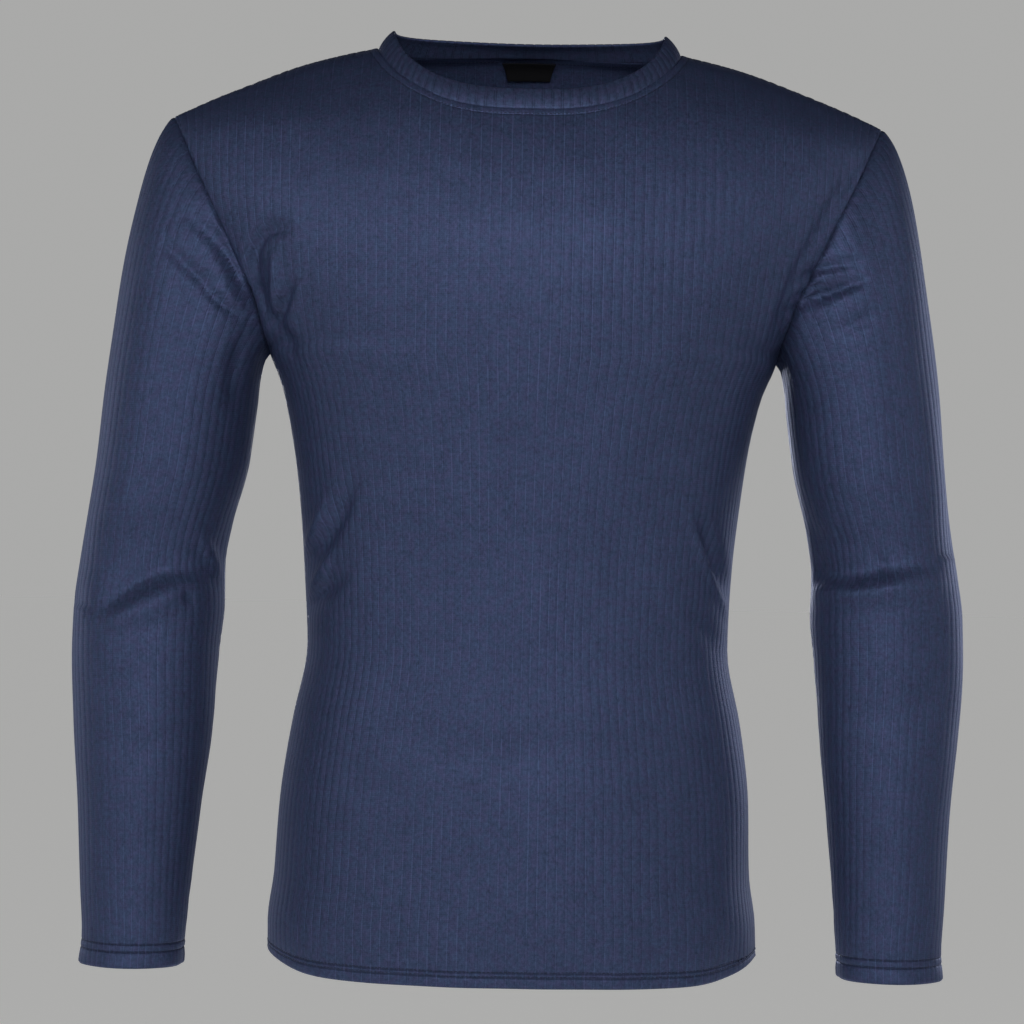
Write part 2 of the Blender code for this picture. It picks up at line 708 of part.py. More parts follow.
def build_label(material):
    """A plain strip inside the back of the neck, made from the back panel's points, moved in."""
    pitch = level_lengths(np.array([ARMPIT_RUN]), "front")[0, -1] / PANEL_HALF_RIBS
    upper, lower = label_runs()
    half = LABEL_WIDTH / 2 / pitch
    taper = (LABEL_WIDTH - LABEL_LOWER_WIDTH) / 2 / pitch / (upper - lower)
    return cloth_wall(
        "label",
        panel_point("back"),
        np.linspace(-half, half, 9),
        np.linspace(lower, upper, 4),
        lambda run: half - taper * (upper - run),
        lambda rib: np.full(len(rib), upper),
        material,
        face_out=-1,
        wall=LABEL_WALL,
        lift=-(WALL + LABEL_CLEARANCE),
        ribbed=False,
        inner_every=1,
    )


def main():
    for old in list(bpy.data.objects):
        bpy.data.objects.remove(old, do_unlink=True)
    cloth = finish("navy_rib_knit", NAVY, CLOTH_ROUGHNESS)
    label = finish("label_black", LABEL_BLACK, CLOTH_ROUGHNESS)
    build_panel("front", cloth)
    build_panel("back", cloth)
    build_sleeve("sleeve_left", 1, cloth)
    build_sleeve("sleeve_right", -1, cloth)
    build_neckband(cloth)
    build_label(label)


main()
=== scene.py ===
"""Looks of a long-sleeved thermal top with a crew neck, filled out as if worn.

Each piece of cloth is a thin closed wall on the form of its solid in the frame: fine ribs, creases, seams
and hems are worked into its points, and its sewing is laid on as thread. The front faces -Y and the
wearer's left is +X. Tables and sizes are in millimetres, objects in metres.

Two pattern coordinates run over each piece. "rib" counts ribs across it from its middle, and "run" is the
distance along the cloth, so every rib is a column of constant "rib".
"""

import math

import bpy
import numpy as np
from mathutils import Matrix, Vector
from mathutils.bvhtree import BVHTree
from mathutils.kdtree import KDTree


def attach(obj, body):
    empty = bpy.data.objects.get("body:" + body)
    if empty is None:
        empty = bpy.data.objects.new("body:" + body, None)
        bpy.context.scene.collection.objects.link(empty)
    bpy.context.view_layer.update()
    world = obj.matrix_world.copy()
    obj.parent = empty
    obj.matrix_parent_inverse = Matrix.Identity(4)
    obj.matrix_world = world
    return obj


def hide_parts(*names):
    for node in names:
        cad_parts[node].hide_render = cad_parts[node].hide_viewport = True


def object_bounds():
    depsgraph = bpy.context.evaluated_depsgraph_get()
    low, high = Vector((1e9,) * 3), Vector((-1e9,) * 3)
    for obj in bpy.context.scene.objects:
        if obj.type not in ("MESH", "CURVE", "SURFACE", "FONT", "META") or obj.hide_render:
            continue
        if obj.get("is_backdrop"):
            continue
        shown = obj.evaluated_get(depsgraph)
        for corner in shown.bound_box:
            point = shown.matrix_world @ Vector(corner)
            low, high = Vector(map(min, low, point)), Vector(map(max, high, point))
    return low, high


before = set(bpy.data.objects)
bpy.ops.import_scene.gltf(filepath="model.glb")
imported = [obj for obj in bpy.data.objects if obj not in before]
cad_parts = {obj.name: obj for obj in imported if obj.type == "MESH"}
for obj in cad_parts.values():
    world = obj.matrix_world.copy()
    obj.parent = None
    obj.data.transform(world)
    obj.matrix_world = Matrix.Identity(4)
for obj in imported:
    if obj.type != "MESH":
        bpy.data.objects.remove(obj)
cad_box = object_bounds()

MM = 0.001
BODY = "root"

# ---------------------------------------------------------------- sizes of the form

WALL = 1.6
RIB_RISE = 0.22
NECK_LAP = 0.8  # how far the panels run under the neckband
SLEEVE_LAP = 2.2  # how far the sleeves run under the panels, and how deep they lie there
SLEEVE_LAP_DEPTH = 0.5
BAND_SINK = 1.2  # and how far the neckband runs down inside them
PANEL_HALF_RIBS = 34
SIDE_ROUNDING = 0.88  # 1 is an ellipse; less fills the body's section out towards a rectangle
HEM_RAISE = 13.0  # the hem's side seams hang this much higher than its middle
HEM_RAISE_REACH = 70.0
HEM_RAISE_POWER = 9

# Level curves of the body, from the hem to the shoulder ridge, from the middle of the front or back to
# the side seam or the armhole. "wrap" is how far round the body, in degrees, a level turns to its edge.
BODY_COLUMNS = (
    "level", "front_z", "front_y", "back_z", "back_y",
    "edge_z", "edge_x", "edge_front_y", "edge_back_y", "wrap",
)
BODY_LEVELS = (
    ("hem", -671, -114, -671, 110, -671, 178.0, 0, 0, 90),
    ("hem_seam", -640, -114, -640, 110, -640, 177.5, 0, 0, 90),
    ("hip", -600, -113, -600, 109, -600, 172.5, 0, 0, 90),
    ("lower_belly", -545, -111, -545, 104, -545, 170.0, 0, 0, 90),
    ("belly", -490, -107, -490, 96, -490, 162.5, 0, 0, 90),
    ("waist", -435, -103, -435, 90, -435, 153.0, 0, 0, 90),
    ("upper_waist", -380, -103, -380, 90, -380, 155.5, 0, 0, 90),
    ("ribcage", -325, -108, -325, 95, -325, 160.5, 0, 0, 90),
    ("under_chest", -280, -113, -280, 99, -280, 167.0, 0, 0, 90),
    ("below_armpit", -248, -118, -248, 102, -248, 174.5, 0, 0, 90),
    ("armpit", -226, -121, -226, 104, -226, 184.0, 0, 0, 90),
    ("armhole_low", -206, -123, -204, 105, -214, 187.0, -33, 34, 72),
    ("chest", -176, -124, -172, 105, -188, 195.0, -50, 52, 64),
    ("upper_chest", -142, -122, -134, 104, -156, 209.0, -55, 57, 60),
    ("collarbone", -108, -114, -96, 100, -124, 224.0, -52, 54, 58),
    ("below_neck", -78, -103, -59, 91, -94, 239.0, -39, 42, 58),
    ("neck_front", -53, -90, -27, 78, -68, 251.0, -21, 26, 60),
    ("shoulder_front", -24, -66, -2, 62, -58, 256.0, -8, 14, 62),
    ("shoulder_top", 1, -32, 7, 36, -54, 257.8, 0, 7, 66),
    ("ridge", 11, 4, 11, 4, -53, 258.0, 4, 4, 70),
)
ARMPIT_LEVEL = "armpit"
DROP_POWER = 2

NECK_HALF_WIDTH = 110.0
NECK_FRONT = 89.6
NECK_BACK = 54.0
NECK_SQUARENESS = 2.6  # 2 is an ellipse; more fills its corners out
BAND_LEAN = (6.6, 11.0, 15.0)  # at the front, the sides and the back
BAND_RISE = (15.0, 13.5, 7.5)
BAND_HEIGHT = math.hypot(BAND_LEAN[0], BAND_RISE[0])
BAND_WALL = 2.2
BAND_BOW = 1.2
BAND_RIB_PITCH = 6.8

LABEL_WIDTH = 41.0
LABEL_LOWER_WIDTH = 32.0
LABEL_DROP = 19.5
LABEL_BELOW_SEAM = 3.6  # it hangs from the neckband's topstitching
LABEL_WALL = 0.7
LABEL_CLEARANCE = 2.0

SLEEVE_COLUMNS = ("section", "z", "inner_x", "outer_x", "mid_y", "half_depth", "half_ribs")
SLEEVE_SECTIONS = (
    ("cuff", -667, 236.5, 308.5, -34, 41, 22.0),
    ("cuff_seam", -650, 235.0, 309.0, -33, 40, 22.0),
    ("wrist", -613, 232.5, 312.0, -29, 42, 22.4),
    ("forearm_low", -555, 227.0, 315.0, -22, 46, 23.2),
    ("forearm", -496, 220.0, 320.5, -14, 51, 24.2),
    ("below_elbow", -438, 216.0, 323.5, -7, 55, 25.0),
    ("elbow_low", -409, 213.5, 323.0, -4, 56, 25.4),
    ("elbow", -380, 214.0, 319.5, -2, 56, 25.8),
    ("above_elbow", -350, 210.0, 315.0, 0, 57, 26.0),
    ("upper_arm", -306, 199.5, 309.5, 1, 60, 26.0),
    ("sleeve_top", -262, 194.0, 305.5, 3, 62, 26.0),
)
LEAVE_COLUMNS = ("along", "out", "sideways", "down", "hold")
LEAVE_DIRECTIONS = (
    (0.0, 0.85, 0.00, 0.50, 0.60),
    (0.2, 0.60, 0.15, 0.80, 0.60),
    (0.5, 0.55, 0.25, 0.80, 0.60),
    (0.8, 0.80, 0.25, 0.55, 0.45),
    (1.0, 0.90, 0.00, 0.45, 0.35),
)

# ---------------------------------------------------------------- creases

# Soft troughs (positive depth) and ridges (negative) along lines seen from the front, x to the wearer's
# left, on the half of the cloth that faces "front" or "back". FOLDS are the largest, CREASES the finer.
FOLD_COLUMNS = ("fold", "half", "line", "depth", "half_width")
FOLDS = (
    (
        "right_elbow", "front",
        ((-301, -411), (-282, -396), (-267, -388), (-250, -382), (-235, -380), (-219, -386)), 8.0, 16,
    ),
    ("left_elbow", "front", ((204, -370), (222, -376), (246, -374), (264, -369), (294, -364)), 7.2, 14),
    ("right_elbow_back", "back", ((-305, -392), (-270, -402), (-225, -396)), 3.0, 20),
    ("left_elbow_back", "back", ((306, -400), (268, -408), (224, -396)), 3.0, 20),
    ("right_armpit", "front", ((-174, -141), (-190, -158), (-190, -182), (-178, -206)), 4.0, 13),
    ("left_armpit", "front", ((240, -160), (216, -174), (188, -192)), 4.0, 13),
    ("right_armpit_back", "back", ((-168, -128), (-190, -160), (-188, -200)), 4.0, 16),
    ("left_armpit_back", "back", ((172, -138), (192, -168), (188, -204)), 4.0, 16),
    ("right_waist_upper", "front", ((-120, -320), (-136, -353), (-154, -378)), 3.0, 14),
    ("right_waist_lower", "front", ((-124, -380), (-140, -396), (-154, -412)), 3.0, 13),
    ("left_waist", "front", ((127, -340), (138, -366), (150, -398)), 2.5, 13),
    ("right_waist_back", "back", ((-118, -352), (-138, -374), (-152, -392)), 3.0, 15),
    ("left_waist_back", "back", ((112, -372), (136, -390), (152, -404)), 3.0, 15),
)
CREASES = (
    # The wearer's right armpit and sleeve cap.
    ("right_hook", "front", ((-169, -141), (-180, -141), (-189, -147), (-194, -156), (-195, -169)), 2.7, 7),
    ("right_hook_tail", "front", ((-195, -164), (-193, -180), (-188, -192), (-181, -206)), 2.6, 8),
    ("right_hook_ridge", "front", ((-178, -160), (-177, -180), (-181, -198)), -1.7, 7),
    ("right_short", "front", ((-165, -180), (-170, -190), (-174, -200), (-178, -207)), 3.0, 7),
    ("right_short_ridge", "front", ((-156, -176), (-162, -194), (-167, -210)), -0.9, 7),
    ("right_under", "front", ((-179, -206), (-170, -217), (-164, -230)), 1.8, 10),
    (
        "right_cap_seam", "front",
        ((-240, -130), (-220, -149), (-211, -163), (-202, -182), (-194, -200)), 2.8, 9,
    ),
    (
        "right_cap_upper", "front",
        ((-258, -152), (-243, -165), (-230, -177), (-219, -189), (-204, -200), (-192, -205)), 2.4, 8,
    ),
    ("right_cap_ridge", "front", ((-232, -176), (-212, -189), (-199, -198)), -1.2, 6),
    ("right_inner_sleeve", "front", ((-200, -212), (-207, -238), (-209, -262)), 1.6, 10),
    # The wearer's left armpit and sleeve cap.
    ("left_seam_shade", "front", ((239, -80), (223, -106), (208, -136), (201, -154)), 1.6, 8),
    ("left_torso_line", "front", ((207, -132), (197, -153), (190, -170), (184, -188), (176, -218)), 1.2, 7),
    ("left_cap_a", "front", ((240, -153), (220, -157), (206, -162), (194, -170)), 2.6, 6),
    ("left_cap_ridge_ab", "front", ((226, -162), (211, -167), (197, -174)), -1.3, 5),
    ("left_cap_b", "front", ((214, -170), (204, -174), (191, -182)), 1.6, 5),
    ("left_cap_ridge_bc", "front", ((230, -167), (211, -174), (191, -187)), -1.3, 5),
    ("left_cap_c", "front", ((244, -167), (222, -174), (205, -182), (187, -192)), 2.8, 6),
    ("left_cap_far", "front", ((254, -191), (240, -196), (224, -204)), 1.4, 9),
    ("left_inner_sleeve", "front", ((190, -190), (187, -205), (184, -228)), 2.4, 9),
    # Elbows.
    ("right_elbow_core", "front", ((-299, -410), (-282, -396), (-267, -388), (-250, -383)), 0.6, 7),
    ("right_forearm_top", "front", ((-288, -422), (-262, -410), (-240, -399)), -1.8, 14),
    ("right_elbow_edge", "front", ((-226, -360), (-219, -376), (-215, -392)), -1.7, 6),
    ("right_elbow_dent", "front", ((-239, -400), (-233, -407)), 1.4, 6),
    ("left_elbow_small", "front", ((250, -360), (257, -366), (266, -376)), 0.9, 6),
    ("left_forearm_top", "front", ((212, -392), (240, -391), (270, -387), (300, -383)), -2.0, 14),
    ("left_elbow_upper", "front", ((206, -346), (220, -353), (240, -355)), 0.7, 12),
    ("left_forearm_soft", "front", ((300, -470), (272, -478), (240, -474)), 0.8, 20),
    ("right_forearm_soft", "front", ((-300, -500), (-270, -510), (-240, -506)), 0.8, 20),
    # Waist.
    ("right_waist_trough", "front", ((-119, -322), (-127, -341), (-139, -362), (-148, -378)), 1.6, 8),
    ("right_waist_ridge_a", "front", ((-139, -336), (-147, -355), (-154, -369)), -2.0, 7),
    ("right_waist_trough_b", "front", ((-124, -388), (-139, -396), (-150, -405)), 1.4, 8),
    ("right_waist_ridge_b", "front", ((-135, -372), (-144, -389), (-152, -403)), -1.8, 6),
    ("left_waist_ridge", "front", ((118, -335), (126, -355), (137, -379), (149, -405)), -2.0, 6),
    ("left_waist_trough", "front", ((130, -346), (138, -367), (148, -392)), 1.8, 7),
    ("left_waist_low", "front", ((120, -404), (134, -420), (146, -438)), 0.9, 10),
    # Belly.
    ("belly_band", "front", ((-84, -500), (-20, -508), (44, -504), (100, -496)), 1.1, 22),
    ("belly_a", "front", ((54, -519), (70, -521), (88, -527)), 0.9, 7),
    ("belly_b", "front", ((88, -541), (110, -534)), 0.8, 6),
    ("belly_c", "front", ((-118, -528), (-92, -536), (-70, -534)), 0.7, 9),
    # The back: the waist, the armpits, the elbows and the nape.
    ("back_waist_right_a", "back", ((-152, -350), (-118, -365), (-82, -371)), 2.3, 11),
    ("back_waist_right_ridge", "back", ((-150, -368), (-120, -381), (-92, -385)), -1.2, 9),
    ("back_waist_right_b", "back", ((-153, -388), (-126, -397), (-96, -399)), 1.9, 10),
    ("back_waist_left_a", "back", ((148, -344), (120, -357), (94, -366)), 2.0, 11),
    ("back_waist_left_ridge", "back", ((150, -364), (122, -376), (90, -384)), -1.3, 9),
    ("back_waist_left_b", "back", ((154, -382), (124, -395), (88, -403), (58, -404)), 2.3, 12),
    ("back_waist_left_c", "back", ((150, -424), (128, -432), (104, -432)), 1.2, 11),
    ("back_armpit_right_a", "back", ((-176, -146), (-160, -174), (-150, -206)), 2.4, 10),
    ("back_armpit_right_b", "back", ((-180, -188), (-165, -206), (-158, -228)), 1.9, 8),
    ("back_armpit_left_a", "back", ((181, -142), (164, -168), (150, -198)), 2.3, 10),
    ("back_armpit_left_b", "back", ((184, -194), (169, -214), (162, -238)), 1.7, 8),
    ("back_cap_right_a", "back", ((-243, -152), (-224, -174), (-204, -192)), 2.1, 8),
    ("back_cap_right_b", "back", ((-232, -186), (-214, -199), (-199, -210)), 1.6, 7),
    ("back_cap_left_a", "back", ((240, -160), (220, -178), (202, -190)), 2.0, 8),
    ("back_cap_left_b", "back", ((250, -184), (226, -198), (206, -206)), 1.7, 8),
    ("back_elbow_right_a", "back", ((-303, -418), (-272, -427), (-238, -419)), 2.1, 13),
    ("back_elbow_right_b", "back", ((-300, -366), (-274, -374), (-248, -370)), 1.4, 12),
    ("back_elbow_left_a", "back", ((303, -370), (276, -381), (240, -377)), 2.1, 13),
    ("back_elbow_left_b", "back", ((306, -432), (280, -438), (254, -434)), 1.3, 12),
    ("nape", "back", ((-64, -36), (0, -46), (58, -38)), 1.2, 13),
    ("back_hem_soft", "back", ((-60, -588), (10, -580), (80, -590)), 1.0, 26),
)

CREASE_NAMES = {row[0] for row in CREASES}
CREASE_DEPTH = 2.15  # what the creases' depths are multiplied by
# These reach further above their line than below it, by this factor.
WIDER_ABOVE = {
    "right_elbow": 3.4,
    "left_elbow": 4.0,
    "right_waist_trough": 1.5,
    "left_waist_trough": 1.5,
    "back_elbow_right_a": 1.8,
    "back_elbow_left_a": 1.6,
}

# Slow swells all over the cloth: wavelengths across and up, a turn of phase, and a height.
SWELL_COLUMNS = ("across", "up", "phase", "height")
SWELLS = (
    (210.0, 330.0, 0.4, 0.50),
    (-150.0, 240.0, 2.1, 0.35),
    (96.0, -170.0, 4.0, 0.25),
    (70.0, 118.0, 5.2, 0.16),
)

# ---------------------------------------------------------------- sewing

HEM_ROWS = (7.4, 10.9)  # twin-needle rows, above the hem's edge
CUFF_ROWS = (11.5, 16.8)
NECK_ROW = 6.0  # topstitch on the body, below the neck seam
GROOVE_DEPTH = 0.6  # how far a row of stitches pulls the cloth in
GROOVE_HALF = 0.7
DOUBLED = 0.35  # how much a doubled hem or cuff stands out, and how soon that fades above its rows
BAND_FADE = 2.5
PRESSED_RIBS = 0.55  # the share of the ribs' height that is left there
EDGE_ROLL = 0.7  # how far a folded edge turns in
SEAM_ROLL = 0.35  # and a sewn one
HEM_TUCK = 4.5  # the hem hangs in towards the wearer
HEM_TUCK_REACH = 75.0
STITCH_PITCH = 2.9
STITCH_LENGTH = 2.2
THREAD = 0.26  # the thread's radius
THREAD_SIDES = 6
THREAD_SINK = 0.05  # how far the thread lies in the cloth
# Along a stitch: the share of its length, of the thread's radius, and its height in radii.
STITCH_STATIONS = ((0.0, 0.35, -0.6), (0.25, 1.0, 0.25), (0.75, 1.0, 0.25), (1.0, 0.35, -0.6))

# ---------------------------------------------------------------- small helpers


def table(columns, rows):
    """The rows' columns by name, numbers as arrays."""
    found = dict(zip(columns, zip(*rows)))
    return {
        name: np.array(values, float) if isinstance(values[0], (int, float)) else values
        for name, values in found.items()
    }


def cubic_weights(t):
    """What a cubic piece takes of its start, its start's slope, its end and its end's slope."""
    return 2 * t**3 - 3 * t**2 + 1, t**3 - 2 * t**2 + t, 3 * t**2 - 2 * t**3, t**3 - t**2


def through(knots, values, at):
    """A smooth curve through (knots, values), read at `at`: cubic pieces with no overshoot."""
    step = np.diff(knots)
    slope = np.diff(values) / step
    tangent = np.empty(len(knots))
    tangent[0], tangent[-1] = slope[0], slope[-1]
    same_way = slope[:-1] * slope[1:] > 0
    weight_a = 2 * step[1:] + step[:-1]
    weight_b = step[1:] + 2 * step[:-1]
    safe_a = np.where(same_way, slope[:-1], 1.0)
    safe_b = np.where(same_way, slope[1:], 1.0)
    tangent[1:-1] = np.where(
        same_way, (weight_a + weight_b) / (weight_a / safe_a + weight_b / safe_b), 0.0
    )
    at = np.clip(at, knots[0], knots[-1])
    piece = np.clip(np.searchsorted(knots, at, side="right") - 1, 0, len(knots) - 2)
    width = step[piece]
    start, leave, end, arrive = cubic_weights((at - knots[piece]) / width)
    return (
        start * values[piece]
        + leave * width * tangent[piece]
        + end * values[piece + 1]
        + arrive * width * tangent[piece + 1]
    )


def length(vectors):
    return np.sqrt((vectors**2).sum(axis=-1))


def unit(vectors):
    return vectors / np.maximum(length(vectors), 1e-12)[..., None]


def covered_along(points):
    """The distance along a line of points, from its first."""
    return np.concatenate(([0.0], np.cumsum(length(np.diff(points, axis=0)))))


def covered_rows(points):
    """The same for many lines at once, one to a row."""
    steps = length(np.diff(points, axis=1))
    return np.concatenate((np.zeros((len(steps), 1)), np.cumsum(steps, axis=1)), axis=1)


def place_in_rows(lengths, wanted):
    """The row, the sample after the wanted length and the share of the way to it, one to each row."""
    rows = np.arange(len(wanted))
    after = np.clip((lengths < wanted[:, None]).sum(axis=1), 1, lengths.shape[1] - 1)
    low, high = lengths[rows, after - 1], lengths[rows, after]
    return rows, after, (wanted - low) / np.maximum(high - low, 1e-9)


def bell(distance, half_width):
    return np.exp(-((distance / half_width) ** 2))


def ease(value, low, high):
    """0 below low, 1 above high and smooth between."""
    t = np.clip((value - low) / (high - low), 0, 1)
    return t * t * (3 - 2 * t)


BODY_TABLE = table(BODY_COLUMNS, BODY_LEVELS)
SLEEVE = table(SLEEVE_COLUMNS, SLEEVE_SECTIONS)
LEAVE = table(LEAVE_COLUMNS, LEAVE_DIRECTIONS)
BODY_TABLE["run"] = np.concatenate(
    ([0.0], np.cumsum(np.hypot(np.diff(BODY_TABLE["front_z"]), np.diff(BODY_TABLE["front_y"]))))
)
ARMPIT_RUN = BODY_TABLE["run"][BODY_TABLE["level"].index(ARMPIT_LEVEL)]
RIDGE_RUN = BODY_TABLE["run"][-1]

# ---------------------------------------------------------------- the body's surface

LEVEL_SAMPLES = 80


def level_values(run, half):
    """Each tabled size of the levels at `run`, for the front or the back half."""
    runs = BODY_TABLE["run"]
    sizes = {name: through(runs, BODY_TABLE[name], run) for name in ("edge_z", "edge_x", "wrap")}
    sizes["mid_y"] = through(runs, BODY_TABLE[half + "_y"], run)
    sizes["mid_z"] = through(runs, BODY_TABLE[half + "_z"], run)
    sizes["edge_y"] = through(runs, BODY_TABLE["edge_" + half + "_y"], run)
    return sizes


def on_level(sizes, run, turn):
    """A point of a level curve, `turn` of the way (0 to 1) round it from the middle to the edge."""
    wrap = np.radians(sizes["wrap"])
    angle = turn * wrap
    cos_edge = np.clip(np.cos(wrap), 0, 1) ** SIDE_ROUNDING
    across = (np.sin(angle) / np.sin(wrap)) ** SIDE_ROUNDING
    forward = (np.clip(np.cos(angle), 0, 1) ** SIDE_ROUNDING - cos_edge) / (1 - cos_edge)
    hem = np.clip(1 - run / HEM_RAISE_REACH, 0, 1) ** 2
    return np.stack(
        (
            sizes["edge_x"] * across,
            sizes["edge_y"] + (sizes["mid_y"] - sizes["edge_y"]) * forward,
            sizes["mid_z"]
            + (sizes["edge_z"] - sizes["mid_z"]) * across**DROP_POWER
            + HEM_RAISE * hem * across**HEM_RAISE_POWER,
        ),
        axis=-1,
    )


def level_lengths(run, half):
    """The lengths along the level curves at `run`, from the middle: one row of samples a point."""
    sizes = {name: values[:, None] for name, values in level_values(run, half).items()}
    return covered_rows(on_level(sizes, run[:, None], np.linspace(0, 1, LEVEL_SAMPLES + 1)[None, :]))


MIRROR = np.array((-1.0, 1.0, 1.0))
CHEST_PITCH = level_lengths(np.array([ARMPIT_RUN]), "front")[0, -1] / PANEL_HALF_RIBS


def rib_pitch(run, reach):
    """The ribs spread evenly from side seam to side seam, and keep the chest's pitch above that."""
    return np.where(run < ARMPIT_RUN, reach / PANEL_HALF_RIBS, CHEST_PITCH)


def panel_half_ribs(half):
    def half_ribs(run):
        reach = level_lengths(run, half)[:, -1]
        return reach / rib_pitch(run, reach)

    return half_ribs


def panel_point(half):
    """The outer surface of the front or back panel, as a function of rib and run."""

    def point(rib, run):
        lengths = level_lengths(run, half)
        wanted = np.abs(rib) * rib_pitch(run, lengths[:, -1])
        _, after, share = place_in_rows(lengths, np.minimum(wanted, lengths[:, -1]))
        found = on_level(level_values(run, half), run, (after - 1 + share) / LEVEL_SAMPLES)
        found[:, 0] *= np.sign(rib)
        return found

    return point


def in_neck(points):
    """Below zero where a point lies inside the neck hole, seen from above."""
    reach = np.where(points[:, 1] < 0, NECK_FRONT, NECK_BACK)
    across, along = np.abs(points[:, 0]) / NECK_HALF_WIDTH, np.abs(points[:, 1]) / reach
    return across**NECK_SQUARENESS + along**NECK_SQUARENESS - 1


def panel_top(half, lap=0.0):
    """Where each rib of a panel ends: on the neck curve, or beside it on the shoulder seam."""
    point = panel_point(half)

    def top(rib):
        low = np.full(len(rib), ARMPIT_RUN)
        high = np.full(len(rib), RIDGE_RUN)
        at_seam = in_neck(point(rib, high)) >= 0
        for _ in range(30):
            middle = (low + high) / 2
            inside = in_neck(point(rib, middle)) < 0
            high = np.where(inside, middle, high)
            low = np.where(inside, low, middle)
        return np.where(at_seam, RIDGE_RUN, low + lap)

    return top


# ---------------------------------------------------------------- the sleeve's surface

ARMHOLE_SAMPLES = 200


def armhole_half(half):
    """The armhole's edge from the armpit to the shoulder point, over the front or the back."""
    run = np.linspace(ARMPIT_RUN, RIDGE_RUN, ARMHOLE_SAMPLES)
    return on_level(level_values(run, half), run, np.ones(len(run)))


ARMHOLE = {half: armhole_half(half) for half in ("front", "back")}


def along_line(points, share):
    """Points at those shares (0 to 1) of a line's length."""
    covered = covered_along(points)
    return np.stack([np.interp(share * covered[-1], covered, points[:, i]) for i in range(3)], axis=-1)


def tube_point(turn, z):
    """A point of the tube; `turn` is 0 on the outer side, 1 on the inner side, negative on the back."""
    inner, outer, mid_y, half_depth = (
        through(SLEEVE["z"], SLEEVE[name], z)
        for name in ("inner_x", "outer_x", "mid_y", "half_depth")
    )
    angle = turn * math.pi
    return np.stack(
        (
            (inner + outer) / 2 + (outer - inner) / 2 * np.cos(angle),
            mid_y - half_depth * np.sin(angle),
            z,
        ),
        axis=-1,
    )


SLEEVE_TOP = SLEEVE["z"][-1]
SLEEVE_TOP_HALF_RIBS = SLEEVE["half_ribs"][-1]
SLEEVE_BOTTOM = SLEEVE["z"][0] - SLEEVE_TOP  # the cuff's edge, as a run
CAP_SAMPLES = 24
CAP_STEEPNESS = 1.6


def armhole_share(turn):
    """How far from the armpit to the shoulder point a sleeve column meets the armhole."""
    samples = np.linspace(0, 1, 100)
    rate = np.sqrt(1 + (CAP_STEEPNESS * np.sin(math.pi * samples)) ** 2)
    covered = np.concatenate(([0.0], np.cumsum((rate[1:] + rate[:-1]) / 2)))
    return 1 - np.interp(np.abs(turn), samples, covered / covered[-1])


def cap_curve(turn):
    """The sleeve's column at `turn` above the tube: points from the tube's top up to the armhole."""
    share = armhole_share(turn)
    front = (turn >= 0)[:, None]
    start = np.where(front, along_line(ARMHOLE["front"], share), along_line(ARMHOLE["back"], share))
    out, sideways, down, hold = (
        through(LEAVE["along"], LEAVE[name], share) for name in ("out", "sideways", "down", "hold")
    )
    forward = np.where(turn >= 0, -sideways, sideways)
    leave = unit(np.stack((out, forward, -down), axis=-1))
    z_top = np.full(len(turn), SLEEVE_TOP)
    end = tube_point(turn, z_top)
    arrive = unit(end - tube_point(turn, z_top - 1.0)) * -1.0
    reach = length(end - start)
    of_start, of_leave, of_end, of_arrive = cubic_weights(np.linspace(1, 0, CAP_SAMPLES + 1)[None, :, None])
    return (
        of_start * start[:, None]
        + of_leave * (leave * (reach * hold)[:, None])[:, None]
        + of_end * end[:, None]
        + of_arrive * (arrive * reach[:, None])[:, None]
    )


def sleeve_half_ribs(run):
    """Half the sleeve's ribs at `run` above the tube's top: fewer towards the cuff, where it tapers."""
    return through(SLEEVE["z"], SLEEVE["half_ribs"], SLEEVE_TOP + np.minimum(run, 0))


def sleeve_top(rib):
    """Where each rib of the sleeve ends, just under the panel past the armhole."""
    return covered_rows(cap_curve(np.clip(rib / SLEEVE_TOP_HALF_RIBS, -1, 1)))[:, -1] + SLEEVE_LAP


def sleeve_point(side):
    """The outer surface of a sleeve; side is 1 for the wearer's left and -1 for the right."""

    def point(rib, run):
        turn = np.clip(rib / sleeve_half_ribs(run), -1, 1)
        found = tube_point(turn, SLEEVE_TOP + np.minimum(run, 0))
        above = run > 0
        if above.any():
            curve = cap_curve(turn[above])
            rows, after, share = place_in_rows(covered_rows(curve), run[above])
            share = share[:, None]
            found[above] = curve[rows, after - 1] * (1 - share) + curve[rows, after] * share
        found[:, 0] *= side
        return found

    return point


# ---------------------------------------------------------------- the neckband's surface

SEAM_SAMPLES = 181


def neck_seam():
    """The neck seam as a closed ring of points, from the front's middle round by the wearer's left."""
    rings = []
    for half in ("front", "back"):
        point, top = panel_point(half), panel_top(half)
        low, high = 0.0, PANEL_HALF_RIBS * 1.0
        for _ in range(40):
            middle = np.array([(low + high) / 2])
            beside = in_neck(point(middle, np.array([RIDGE_RUN]))) >= 0
            low, high = (low, middle[0]) if beside[0] else (middle[0], high)
        # Closer together towards the side, where the curve turns up along the ribs.
        ribs = low * np.sin(np.linspace(0, math.pi / 2, SEAM_SAMPLES))
        rings.append(point(ribs, top(ribs)))
    front, back = rings
    side = np.concatenate((front, back[::-1][1:]))
    return np.concatenate((side, side[::-1][1:-1] * MIRROR))


NECK_SEAM = neck_seam()
NECK_RING = np.concatenate((NECK_SEAM, NECK_SEAM[:1]))
BAND_RIBS = round(covered_along(NECK_RING)[-1] / BAND_RIB_PITCH)


